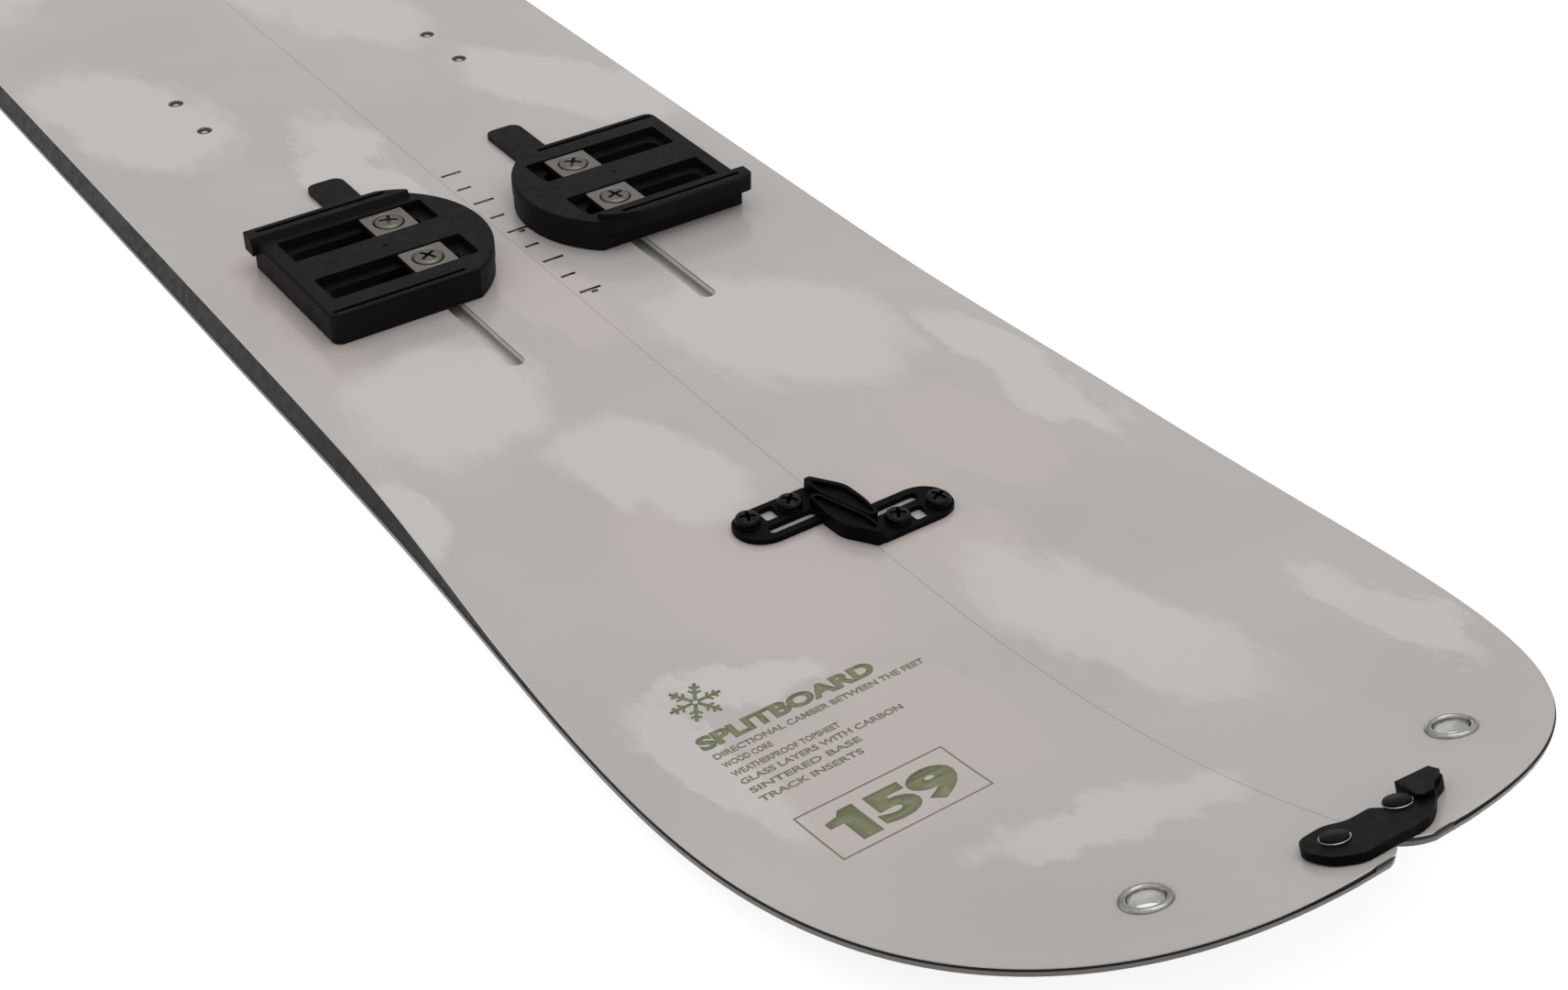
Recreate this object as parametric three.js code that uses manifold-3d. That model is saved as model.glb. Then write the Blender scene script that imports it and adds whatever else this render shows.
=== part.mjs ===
// Splitboard: a snowboard sawn along its centre line into two touring skis, joined by two pairs
// of interlocking hooks and a swinging clip at each tip. Millimetres, +X to the nose, +Y to the
// left edge, +Z up. The origin is on the floor under the middle of the board.

import * as THREE from 'three';
import { mergeVertices } from 'three/addons/utils/BufferGeometryUtils.js';
import Module from 'manifold-3d';

const wasm = await Module();
wasm.setup();

// ---------- driving dimensions ----------

const BOARD_LENGTH = 1590;
const HALF_LENGTH = BOARD_LENGTH / 2;

// plan shape of one half, measured from the seam
const WAIST_HALF_WIDTH = 130.4;
const WIDEST_HALF_WIDTH = 138.2;
const WIDEST_X = 610;
const SIDECUT_POWER = 3.6;
const TIP_END_X = HALF_LENGTH + 0.4;    // where the tip's curve would meet the seam
const TIP_SHAPE_POWER = 2.4;
const TIP_SHAPE_ROOT = 0.355;
const SEAM_GAP = 0.6;
const TIP_CORNER_RADIUS = 12;
const TIP_CLOSING_Y = 15;               // where the two rims of one half meet at the tip

// side view
const DECK_HEIGHT = 10.5;               // top surface above the floor between the feet
const TIP_THICKNESS = 4;
const TAPER_START_X = 290;
const TAPER_END_X = 620;
const RISE_START_X = 527;
const RISE_LENGTH = 265;
const RISE_HEIGHT = 48.5;
const RISE_POWER = 2.83;

// layers
const LAYER_GAP = 0.2;
const BASE_SHEET = 1.3;
const EDGE_WIDTH = 2.2;
const EDGE_HEIGHT = 2;
const SIDEWALL_WIDTH = 6;
const TOPSHEET = 0.7;
const BEVEL_INSET = 3.8;                // how far the top surface stops inside the steel edge
const BEVEL_INSET_TIP = 0.6;
const BEVEL_END_START_X = 400;
const BEVEL_END_X = 540;

// binding tracks and pucks
const FOOT_X = 293.5;
const TRACK_Y = 44.65;
const TRACK_SHIFT = 6;                  // the track reaches further towards the tip
const TRACK_X = FOOT_X + TRACK_SHIFT;
const TRACK_LENGTH = 180;
const TRACK_WIDTH = 16;
const TRACK_TOP = DECK_HEIGHT - TOPSHEET - 2 * LAYER_GAP;
const TRACK_DEPTH = 6.2;
const TRACK_LIP = 1.5;
const TRACK_FLOOR = 1.2;
const CHANNEL_WIDTH = 13;
const THROAT_WIDTH = 6.6;
const SLOT_LENGTH = 171;
const SLOT_WIDTH = 7.5;

const PUCK_WIDTH = 79;
const PUCK_INNER_Y = 10.8;
const PUCK_SHOULDER_Y = 32.5;
const PUCK_OUTER_Y = 98;
const PUCK_DECK = 13.6;                 // heights above the top surface
const PUCK_RAIL_TOP = 16.4;
const PUCK_UNDERCUT = 4.1;              // how far the wall under the rail is set in
const RAIL_WIDTH = 9.3;
const RAIL_SLOPE = 1.6;                 // how far the rail's inner face leans
const RAIL_INNER_Y = 28;
const RAIL_SHOULDER_Y = 51.1;
const RAIL_OVERHANG = 0.8;              // past the puck's long side
const RAIL_REACH = 2.6;                 // past the puck's outer end
const RAIL_OVERHANG_HEIGHT = 8.9;
const RAIL_ROUND = 2;                   // along the rail's outer top edge
const RAIL_GROOVE_WIDTH = 2;
const RAIL_GROOVE_DEPTH = 2;
const RAIL_GROOVE_X = 35.8;
const GROOVE_INNER_Y = 37;
const GROOVE_OUTER_Y = 96;
const RECESS_X = 17.6;
const RECESS_WIDTH = 18.2;
const RECESS_INNER_Y = 25.6;
const RECESS_OUTER_Y = 91.2;
const RECESS_FLOOR = 9.2;
const PUCK_SLOT_WIDTH = 9;
const PUCK_CLEARANCE = 0.4;

const PLATE_THICKNESS = 1.9;
const PLATE_HALF_X = 30;
const PLATE_WIDTH = 40;
const TAB_WIDTH = 17;
const TAB_REACH = 84.3;

const WASHER_LONG = 19.6;
const WASHER_SHORT = 17;
const WASHER_THICKNESS = 3.7;
const SCREW_HEAD_RADIUS = 6.3;
const SCREW_HEAD_HEIGHT = 1.7;
const SCREW_SHANK_RADIUS = 2.9;
const SCREW_HOLE_RADIUS = 3.2;
const NUT_LENGTH = 47;
const NUT_WIDTH = 12.2;
const NUT_HEIGHT = 3;

// touring bracket inserts
const INSERT_XS = [96.3, 129.6];
const INSERT_Y = 66;
const INSERT_RADIUS = 3.5;

// hooks across the seam
const HOOK_X = 537.6;
const HOOK_PLATE = 2.4;
const HOOK_FINGER = 6.4;
const HOOK_CLEARANCE = 0.25;
const HOOK_SCREW_RADIUS = 2.4;
const HOOK_SCREW_X = -14.2;
const HOOK_SCREW_YS = [-31.3, -13.3];

// tip clip, its pivot and the post it catches
const CLIP_X = 779.5;
const CLIP_PIVOT_Y = -12.2;
const CLIP_POST_Y = 12.1;
const CLIP_THICKNESS = 2.8;
const CLIP_NOSE_THICKNESS = 4.3;
const CLIP_LIFT = 0.5;
const CLIP_NOTCH_RADIUS = 3.9;
const PIN_RADIUS = 3;
const PIN_CLEARANCE = 0.35;
const PIN_HEAD_RADIUS = 4.1;
const PIN_HEAD_HEIGHT = 0.7;
const PIN_DEPTH = 1.9;

// eyelets near the tips
const EYELET_X = 757.5;
const EYELET_Y = 60;
const EYELET_BORE_RADIUS = 5.5;
const EYELET_BARREL_RADIUS = 6.3;
const EYELET_FLANGE_RADIUS = 7.5;
const EYELET_FLANGE = 1;

// ---------- curves of the board ----------

function smoothStep(value, start, end) {
  const t = Math.min(Math.max((value - start) / (end - start), 0), 1);
  return t * t * (3 - 2 * t);
}

function topHeight(x) {
  const reach = Math.max(Math.abs(x) - RISE_START_X, 0);
  return DECK_HEIGHT + RISE_HEIGHT * (reach / RISE_LENGTH) ** RISE_POWER;
}

function topSlope(x) {
  const reach = Math.max(Math.abs(x) - RISE_START_X, 0);
  const steepness = RISE_HEIGHT * RISE_POWER / RISE_LENGTH * (reach / RISE_LENGTH) ** (RISE_POWER - 1);
  return Math.sign(x) * steepness;
}

function thickness(x) {
  return DECK_HEIGHT - (DECK_HEIGHT - TIP_THICKNESS) * smoothStep(Math.abs(x), TAPER_START_X, TAPER_END_X);
}

function baseHeight(x) {
  return topHeight(x) - thickness(x);
}

function bevelInset(x) {
  const fade = smoothStep(Math.abs(x), BEVEL_END_START_X, BEVEL_END_X);
  return BEVEL_INSET + (BEVEL_INSET_TIP - BEVEL_INSET) * fade;
}

function outerRim(x) {
  const reach = Math.abs(x);
  if (reach <= WIDEST_X) {
    const flare = (1 - Math.cos(Math.PI * (reach / WIDEST_X) ** SIDECUT_POWER)) / 2;
    return WAIST_HALF_WIDTH + (WIDEST_HALF_WIDTH - WAIST_HALF_WIDTH) * flare;
  }
  const t = (reach - WIDEST_X) / (TIP_END_X - WIDEST_X);
  return WIDEST_HALF_WIDTH * (1 - t ** TIP_SHAPE_POWER) ** TIP_SHAPE_ROOT;
}

function seamRim(x) {
  const turn = Math.max(Math.abs(x) - (TIP_END_X - TIP_CORNER_RADIUS), 0);
  return SEAM_GAP / 2 + TIP_CORNER_RADIUS - Math.sqrt(TIP_CORNER_RADIUS ** 2 - turn ** 2);
}

// A point on a rim moved inwards by inset along the rim's normal.
function rimPoint(row, edge, inset) {
  if (row.closes) {
    const y = TIP_CLOSING_Y + (edge === 'outer' ? LAYER_GAP : -LAYER_GAP);
    return [row.x - Math.sign(row.x) * inset, y];
  }
  const rim = edge === 'outer' ? outerRim : seamRim;
  const step = 0.01;
  const slope = (rim(row.x + step) - rim(row.x - step)) / (2 * step);
  const outward = edge === 'outer' ? 1 : -1;
  const length = Math.hypot(slope, 1);
  return [row.x + outward * slope / length * inset, rim(row.x) - outward / length * inset];
}

// Where the rows of the lofts stand: the middle is straight and flat, the ends curve.
const BODY_ROWS = [290, 360, 420, 470, 515, 560, WIDEST_X];
const TIP_STEPS = 13;

function boardRows() {
  const reaches = [...BODY_ROWS];
  for (let i = 1; i <= TIP_STEPS; i += 1) {
    const closeness = Math.sin(Math.PI / 2 * i / TIP_STEPS);
    reaches.push(WIDEST_X + (HALF_LENGTH - WIDEST_X) * closeness);
  }
  const tail = [...reaches].reverse().map((x) => ({ x: -x }));
  return [...tail, { x: 0 }, ...reaches.map((x) => ({ x }))];
}

const ROWS = boardRows();
const CLOSED_ROWS = [{ x: -HALF_LENGTH, closes: true }, ...ROWS, { x: HALF_LENGTH, closes: true }];

// ---------- solids ----------

function toManifold(geometry) {
  const bare = geometry.clone();
  bare.deleteAttribute('normal');
  bare.deleteAttribute('uv');
  const merged = mergeVertices(bare, 1e-4);
  return new wasm.Manifold(new wasm.Mesh({
    numProp: 3,
    vertProperties: Float32Array.from(merged.attributes.position.array),
    triVerts: Uint32Array.from(merged.index.array),
  }));
}

function toGeometry(solid) {
  const mesh = solid.getMesh();
  const geometry = new THREE.BufferGeometry();
  geometry.setAttribute('position', new THREE.BufferAttribute(mesh.vertProperties, 3));
  geometry.setIndex(new THREE.BufferAttribute(mesh.triVerts, 1));
  return geometry;
}

function cut(geometry, ...cutters) {
  let solid = toManifold(geometry);
  for (const cutter of cutters) {
    solid = solid.subtract(toManifold(cutter));
  }
  return toGeometry(solid);
}

function join(geometry, ...others) {
  let solid = toManifold(geometry);
  for (const other of others) {
    solid = solid.add(toManifold(other));
  }
  return toGeometry(solid);
}

function common(first, second) {
  return toGeometry(toManifold(first).intersect(toManifold(second)));
}

function signedVolume(geometry) {
  const position = geometry.attributes.position;
  const index = geometry.index;
  const corner = [new THREE.Vector3(), new THREE.Vector3(), new THREE.Vector3()];
  let sum = 0;
  for (let i = 0; i < index.count; i += 3) {
    corner.forEach((point, k) => point.fromBufferAttribute(position, index.getX(i + k)));
    sum += corner[0].dot(corner[1].clone().cross(corner[2]));
  }
  return sum / 6;
}

function faceOutwards(geometry) {
  if (signedVolume(geometry) < 0) {
    const index = geometry.index;
    for (let i = 0; i < index.count; i += 3) {
      const second = index.getX(i + 1);
      index.setX(i + 1, index.getX(i + 2));
      index.setX(i + 2, second);
    }
  }
  return geometry;
}

// Mirrors a finished solid through the planes X = 0 and Y = 0 as its end and side ask.
function reflect(geometry, end, side) {
  const indexed = geometry.index ? geometry : mergeVertices(geometry);
  return faceOutwards(indexed.clone().scale(end, side, 1));
}

// A skin of four corners per row, lofted along the board. A corner is [rim, inset, height].
function layer(corners, rows) {
  const points = [];
  for (const row of rows) {
    for (const [edge, inset, height] of corners) {
      const [x, y] = rimPoint(row, edge, inset(row.x));
      points.push(x, y, height(x));
    }
  }
  const count = corners.length;
  const faces = [];
  for (let r = 0; r < rows.length - 1; r += 1) {
    for (let c = 0; c < count; c += 1) {
      const here = r * count + c;
      const next = r * count + (c + 1) % count;
      faces.push(here, next, next + count, here, next + count, here + count);
    }
  }
  const last = (rows.length - 1) * count;
  for (let c = 1; c < count - 1; c += 1) {
    faces.push(0, c + 1, c);
    faces.push(last, last + c, last + c + 1);
  }
  const geometry = new THREE.BufferGeometry();
  geometry.setAttribute('position', new THREE.Float32BufferAttribute(points, 3));
  geometry.setIndex(faces);
  return faceOutwards(geometry);
}

function stadium(length, width) {
  const straight = (length - width) / 2;
  const shape = new THREE.Shape();
  shape.moveTo(-straight, -width / 2);
  shape.lineTo(straight, -width / 2);
  shape.absarc(straight, 0, width / 2, -Math.PI / 2, Math.PI / 2, false);
  shape.lineTo(-straight, width / 2);
  shape.absarc(-straight, 0, width / 2, Math.PI / 2, Math.PI * 1.5, false);
  return shape;
}

function roundedRectangle(x0, y0, x1, y1, radius) {
  const shape = new THREE.Shape();
  shape.moveTo(x0 + radius, y0);
  shape.lineTo(x1 - radius, y0);
  shape.absarc(x1 - radius, y0 + radius, radius, -Math.PI / 2, 0, false);
  shape.lineTo(x1, y1 - radius);
  shape.absarc(x1 - radius, y1 - radius, radius, 0, Math.PI / 2, false);
  shape.lineTo(x0 + radius, y1);
  shape.absarc(x0 + radius, y1 - radius, radius, Math.PI / 2, Math.PI, false);
  shape.lineTo(x0, y0 + radius);
  shape.absarc(x0 + radius, y0 + radius, radius, Math.PI, Math.PI * 1.5, false);
  return shape;
}

function polygon(points) {
  return new THREE.Shape(points.map(([x, y]) => new THREE.Vector2(x, y)));
}

function prism(shape, z0, z1, curveSegments = 4) {
  const geometry = new THREE.ExtrudeGeometry(shape, { depth: z1 - z0, bevelEnabled: false, curveSegments });
  return geometry.translate(0, 0, z0);
}

function box(x0, y0, z0, x1, y1, z1) {
  const geometry = new THREE.BoxGeometry(x1 - x0, y1 - y0, z1 - z0);
  return geometry.translate((x0 + x1) / 2, (y0 + y1) / 2, (z0 + z1) / 2);
}

// A solid of revolution about +Z from a closed [radius, height] profile.
function turned(profile, segments = 12) {
  const closed = [...profile, profile[0]].map(([r, z]) => new THREE.Vector2(r, z));
  return new THREE.LatheGeometry(closed, segments).rotateX(Math.PI / 2);
}

function disc(radius, z0, z1, segments = 12) {
  return new THREE.CylinderGeometry(radius, radius, z1 - z0, segments)
    .rotateX(Math.PI / 2)
    .translate(0, 0, (z0 + z1) / 2);
}

// Moves a piece built on the plane Z = 0 so that it stands square on the top surface at x, y.
function seat(geometry, x, y) {
  return geometry.clone()
    .rotateY(-Math.atan(topSlope(x)))
    .translate(x, y, topHeight(x));
}

// ---------- materials ----------

function material(color, roughness, metalness) {
  return new THREE.MeshStandardMaterial({ color, roughness, metalness });
}

const topsheetGloss = material(0xb1ada9, 0.22, 0);
const coreWood = material(0xc9a26b, 0.7, 0);
const baseBlack = material(0x17171a, 0.45, 0);
const sidewallBlack = material(0x262424, 0.55, 0);
const edgeSteel = material(0x8c8a88, 0.3, 1);
const trackAluminium = material(0x8f8f92, 0.35, 1);
const puckPlastic = material(0x2b292b, 0.5, 0);
const stainless = material(0xa8a49e, 0.25, 1);
const hookPlastic = material(0x1c1b1c, 0.5, 0);
const pinBlack = material(0x1f1d1e, 0.4, 0.4);
const eyeletSteel = material(0xc2c0bc, 0.2, 1);

// ---------- one half of the board, built on the +Y side ----------

const flat = (value) => () => value;
const aboveBase = (height) => (x) => baseHeight(x) + height;
const belowTop = (depth) => (x) => topHeight(x) - depth;

function strip(edge, inset, width, bottom, top, topInset = inset) {
  const corners = [
    [edge, inset, bottom],
    [edge, flat(width), bottom],
    [edge, flat(width), top],
    [edge, topInset, top],
  ];
  return layer(corners, CLOSED_ROWS);
}

function steelEdge(edge) {
  return strip(edge, flat(0), EDGE_WIDTH, aboveBase(0), aboveBase(EDGE_HEIGHT));
}

function sidewall(edge) {
  const topInset = edge === 'outer' ? bevelInset : flat(LAYER_GAP);
  const bottom = aboveBase(EDGE_HEIGHT + LAYER_GAP);
  const top = belowTop(TOPSHEET + LAYER_GAP);
  return strip(edge, flat(LAYER_GAP), SIDEWALL_WIDTH, bottom, top, topInset);
}

function sheet(seamInset, outerInset, bottom, top) {
  const corners = [
    ['seam', seamInset, bottom],
    ['outer', outerInset, bottom],
    ['outer', outerInset, top],
    ['seam', seamInset, top],
  ];
  return layer(corners, ROWS);
}

function eyeletHoles(radius) {
  const drill = disc(radius, -20, 20);
  return [seat(drill, EYELET_X, EYELET_Y), seat(drill, -EYELET_X, EYELET_Y)];
}

function pinHoles(y) {
  const drill = disc(PIN_RADIUS + PIN_CLEARANCE, -PIN_DEPTH - PIN_CLEARANCE, 20);
  return [seat(drill, CLIP_X, y), seat(drill, -CLIP_X, y)];
}

function baseSheet() {
  const inset = flat(EDGE_WIDTH + LAYER_GAP);
  const sheetBody = sheet(inset, inset, aboveBase(0), aboveBase(BASE_SHEET));
  return cut(sheetBody, ...eyeletHoles(EYELET_FLANGE_RADIUS + LAYER_GAP));
}

function core(pinY) {
  const inset = flat(SIDEWALL_WIDTH + 2.5 * LAYER_GAP);
  const block = sheet(inset, inset, aboveBase(BASE_SHEET + LAYER_GAP), belowTop(TOPSHEET + LAYER_GAP));
  const pocket = prism(stadium(TRACK_LENGTH + 2 * LAYER_GAP, TRACK_WIDTH + 2 * LAYER_GAP),
    TRACK_TOP - TRACK_DEPTH - LAYER_GAP, DECK_HEIGHT + 1);
  const pockets = [TRACK_X, -TRACK_X].map((x) => pocket.clone().translate(x, TRACK_Y, 0));
  return cut(block, ...pockets, ...eyeletHoles(EYELET_BARREL_RADIUS + LAYER_GAP), ...pinHoles(pinY));
}

function topsheet(pinY) {
  const skin = sheet(flat(LAYER_GAP / 2), bevelInset, belowTop(TOPSHEET), belowTop(0));
  const slot = prism(stadium(SLOT_LENGTH, SLOT_WIDTH), 0, DECK_HEIGHT + 5);
  const slots = [TRACK_X, -TRACK_X].map((x) => slot.clone().translate(x, TRACK_Y, 0));
  const drill = disc(INSERT_RADIUS, 0, DECK_HEIGHT + 5);
  const inserts = [];
  for (const x of INSERT_XS) {
    inserts.push(drill.clone().translate(x, INSERT_Y, 0), drill.clone().translate(-x, INSERT_Y, 0));
  }
  return cut(skin, ...slots, ...inserts, ...eyeletHoles(EYELET_BARREL_RADIUS + LAYER_GAP), ...pinHoles(pinY));
}

// ---------- binding interface, built at the nose foot on the +Y side ----------

function track() {
  const bottom = TRACK_TOP - TRACK_DEPTH;
  const body = prism(stadium(TRACK_LENGTH, TRACK_WIDTH), bottom, TRACK_TOP);
  const throat = prism(stadium(SLOT_LENGTH, THROAT_WIDTH), TRACK_TOP - TRACK_LIP - 1, TRACK_TOP + 1);
  const channelShape = stadium(TRACK_LENGTH - 3, CHANNEL_WIDTH);
  const channel = prism(channelShape, bottom + TRACK_FLOOR, TRACK_TOP - TRACK_LIP);
  return cut(body, throat, channel).translate(TRACK_X, TRACK_Y, 0);
}

function puckOutline(halfWidth, innerY, outerY, shoulderY = PUCK_SHOULDER_Y) {
  const shape = new THREE.Shape();
  const corner = 4;
  shape.moveTo(halfWidth, shoulderY);
  shape.lineTo(halfWidth, outerY - corner);
  shape.absarc(halfWidth - corner, outerY - corner, corner, 0, Math.PI / 2, false);
  shape.lineTo(-halfWidth + corner, outerY);
  shape.absarc(-halfWidth + corner, outerY - corner, corner, Math.PI / 2, Math.PI, false);
  shape.lineTo(-halfWidth, shoulderY);
  const rise = shoulderY - innerY;
  const radius = (halfWidth ** 2 + rise ** 2) / (2 * rise);
  const sweep = Math.asin(halfWidth / radius);
  shape.absarc(0, innerY + radius, radius, -Math.PI / 2 - sweep, -Math.PI / 2 + sweep, false);
  return shape;
}

function puckRecess(x) {
  const low = RECESS_INNER_Y;
  const high = RECESS_OUTER_Y;
  const half = RECESS_WIDTH / 2;
  const pocket = box(x - half, low, RECESS_FLOOR, x + half, high, PUCK_DECK + 1);
  const slot = prism(stadium(high - low - 8, PUCK_SLOT_WIDTH), -1, RECESS_FLOOR + 1)
    .rotateZ(Math.PI / 2)
    .translate(x, (low + high) / 2, 0);
  return [pocket, slot];
}

function plateOutline(grow) {
  const half = PLATE_WIDTH / 2 + grow;
  return roundedRectangle(-PLATE_HALF_X - grow, TRACK_Y - half, PLATE_HALF_X + grow, TRACK_Y + half, 3);
}

function tabOutline(grow) {
  const half = TAB_WIDTH / 2 + grow;
  return roundedRectangle(-TAB_REACH - grow, TRACK_Y - half, 0, TRACK_Y + half, 4);
}

function puckGroove(top) {
  return prism(stadium(GROOVE_OUTER_Y - GROOVE_INNER_Y, RAIL_GROOVE_WIDTH), top - RAIL_GROOVE_DEPTH, top + 1, 2)
    .rotateZ(Math.PI / 2)
    .translate(RAIL_GROOVE_X, (GROOVE_OUTER_Y + GROOVE_INNER_Y) / 2, 0);
}

// The rail along one long side: its section in X and Z, run along Y and trimmed by the outline.
function puckRail() {
  const inner = PUCK_WIDTH / 2 - RAIL_WIDTH;
  const outer = PUCK_WIDTH / 2 + RAIL_OVERHANG;
  const end = PUCK_OUTER_Y + RAIL_REACH;
  const section = new THREE.Shape();
  section.moveTo(inner, RAIL_OVERHANG_HEIGHT);
  section.lineTo(outer, RAIL_OVERHANG_HEIGHT);
  section.absarc(outer - RAIL_ROUND, PUCK_RAIL_TOP - RAIL_ROUND, RAIL_ROUND, 0, Math.PI / 2, false);
  section.lineTo(inner + RAIL_SLOPE, PUCK_RAIL_TOP);
  section.lineTo(inner, PUCK_DECK - 0.2);
  const run = prism(section, 0, end - RAIL_INNER_Y, 4).rotateX(Math.PI / 2).translate(0, end, 0);
  const outline = puckOutline(outer, PUCK_INNER_Y, end, RAIL_SHOULDER_Y);
  return cut(common(run, prism(outline, 0, PUCK_RAIL_TOP + 1, 6)), puckGroove(PUCK_RAIL_TOP));
}

// A puck has its rail on one long side only: the side towards +X where railSide is 1.
function puck(railSide) {
  const half = PUCK_WIDTH / 2;
  const outline = puckOutline(half, PUCK_INNER_Y, PUCK_OUTER_Y);
  const block = prism(outline, PUCK_CLEARANCE, PUCK_DECK, 6);
  const undercut = box(half - PUCK_UNDERCUT, 0, -1, half + 5, PUCK_OUTER_Y + 5, RAIL_OVERHANG_HEIGHT);
  const plainGroove = reflect(puckGroove(PUCK_DECK), -1, 1);
  const body = reflect(cut(join(cut(block, undercut), puckRail()), plainGroove), railSide, 1);
  const plateTop = PUCK_CLEARANCE + PLATE_THICKNESS + 0.3;
  const underside = [plateOutline(0.4), tabOutline(0.4)].map((shape) => prism(shape, -1, plateTop, 1));
  return cut(body, ...puckRecess(RECESS_X), ...puckRecess(-RECESS_X), ...underside);
}

function basePlate() {
  const bottom = PUCK_CLEARANCE;
  const top = bottom + PLATE_THICKNESS;
  const slot = prism(stadium(2 * RECESS_X + 10, PUCK_SLOT_WIDTH), -1, top + 1).translate(0, TRACK_Y, 0);
  return cut(join(prism(plateOutline(0), bottom, top, 3), prism(tabOutline(0), bottom, top, 3)), slot);
}

function squareWasher() {
  const bottom = RECESS_FLOOR + 0.3;
  const long = WASHER_LONG / 2;
  const short = WASHER_SHORT / 2;
  const plate = box(-short, -long, bottom, short, long, bottom + WASHER_THICKNESS);
  return cut(plate, disc(SCREW_HOLE_RADIUS, 0, PUCK_DECK + 5));
}

function puckScrew() {
  const seatHeight = RECESS_FLOOR + WASHER_THICKNESS + 0.6;
  const tip = TRACK_TOP - TRACK_DEPTH + TRACK_FLOOR + 0.4 - DECK_HEIGHT;
  return turned([
    [0, tip],
    [SCREW_SHANK_RADIUS, tip],
    [SCREW_SHANK_RADIUS, seatHeight],
    [SCREW_HEAD_RADIUS, seatHeight],
    [SCREW_HEAD_RADIUS, seatHeight + SCREW_HEAD_HEIGHT * 0.45],
    [SCREW_HEAD_RADIUS * 0.72, seatHeight + SCREW_HEAD_HEIGHT * 0.88],
    [0, seatHeight + SCREW_HEAD_HEIGHT],
  ]);
}

function slidingNut() {
  const bottom = TRACK_TOP - TRACK_DEPTH + TRACK_FLOOR + 0.3 - DECK_HEIGHT;
  const bar = prism(stadium(NUT_LENGTH, NUT_WIDTH), bottom, bottom + NUT_HEIGHT).translate(0, TRACK_Y, 0);
  const drill = disc(SCREW_HOLE_RADIUS, -DECK_HEIGHT, DECK_HEIGHT);
  const holes = [RECESS_X, -RECESS_X].map((x) => drill.clone().translate(x, TRACK_Y, 0));
  return cut(bar, ...holes);
}

// ---------- seam and tip hardware, built at the nose ----------

// The right half's hook, in millimetres from the middle of the pair.
function rightHook() {
  const plateShape = polygon([
    [-20.6, -3.6], [-20.6, -30], [-17.6, -35.4], [-12.5, -37.4], [-8, -36.4], [-3.2, -32.4], [-1.4, -27],
    [-1.4, -3.6],
  ]);
  const bottom = HOOK_CLEARANCE;
  let body = prism(plateShape, bottom, HOOK_PLATE);
  const finger = polygon([
    [-10.5, -9], [-10.5, -3.9], [0, -HOOK_CLEARANCE], [10.3, 3.1], [20.4, 2.9], [20.4, 0.3], [9.2, -7.4],
    [-1.4, -9],
  ]);
  body = join(body, prism(finger, bottom, HOOK_FINGER));
  const drill = disc(HOOK_SCREW_RADIUS, -1, HOOK_PLATE + 1);
  const window = box(-18.3, -25.2, -1, -11.4, -18.8, HOOK_PLATE + 1);
  const slot = box(-8.4, -27.5, -1, -4.3, -7.6, HOOK_FINGER + 1);
  return cut(body, window, slot, ...HOOK_SCREW_YS.map((y) => drill.clone().translate(HOOK_SCREW_X, y, 0)));
}

// The clip's outline in the plane of the tip, from its pivot: first number towards the tip.
function clipOutline() {
  const shape = new THREE.Shape();
  shape.moveTo(0.1, -9.5);
  shape.lineTo(7.2, -8.8);
  shape.lineTo(13, -2.9);
  shape.lineTo(13.5, 2.3);
  shape.lineTo(13.6, 8);
  shape.lineTo(14.6, 15.5);
  shape.lineTo(13.6, 22.6);
  shape.lineTo(9.6, 28.9);
  shape.lineTo(3.8, 35.3);
  shape.lineTo(2.1, 40.2);
  shape.lineTo(-0.8, 43.2);
  shape.lineTo(-5.9, 43.2);
  shape.lineTo(-7.3, 31.2);
  shape.lineTo(0, 29.6);
  shape.absarc(0, CLIP_POST_Y - CLIP_PIVOT_Y, CLIP_NOTCH_RADIUS, Math.PI * 0.42, -Math.PI / 2, true);
  shape.lineTo(-4.5, 18);
  shape.lineTo(-4.6, 9);
  shape.lineTo(-8.1, 3.9);
  shape.lineTo(-6.9, -7.1);
  return shape;
}

function tipClip() {
  const top = CLIP_LIFT + CLIP_THICKNESS;
  const noseShape = polygon([
    [-7.3, 31.2], [0, 30], [5.6, 33.2], [3.8, 35.3], [2.1, 40.2], [-0.8, 43.2], [-5.9, 43.2],
  ]);
  const nose = prism(noseShape, CLIP_LIFT, CLIP_LIFT + CLIP_NOSE_THICKNESS);
  const body = join(prism(clipOutline(), CLIP_LIFT, top), nose);
  return cut(body, disc(PIN_RADIUS + PIN_CLEARANCE, -1, top + 1));
}

function headedPin() {
  const head = CLIP_LIFT + CLIP_THICKNESS + 0.3;
  return turned([
    [0, -PIN_DEPTH],
    [PIN_RADIUS, -PIN_DEPTH],
    [PIN_RADIUS, head],
    [PIN_HEAD_RADIUS, head],
    [PIN_HEAD_RADIUS, head + PIN_HEAD_HEIGHT],
    [0, head + PIN_HEAD_HEIGHT],
  ]);
}

function eyelet() {
  const gap = 0.3;
  return turned([
    [EYELET_BORE_RADIUS, -TIP_THICKNESS - gap],
    [EYELET_FLANGE_RADIUS, -TIP_THICKNESS - gap],
    [EYELET_FLANGE_RADIUS, -TIP_THICKNESS + BASE_SHEET - 2 * gap],
    [EYELET_BARREL_RADIUS, -TIP_THICKNESS + BASE_SHEET - 2 * gap],
    [EYELET_BARREL_RADIUS, gap],
    [EYELET_FLANGE_RADIUS, gap],
    [EYELET_FLANGE_RADIUS - 0.4, gap + EYELET_FLANGE],
    [EYELET_BORE_RADIUS, gap + EYELET_FLANGE],
  ]);
}

// ---------- assembly ----------

const board = new THREE.Group();

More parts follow.
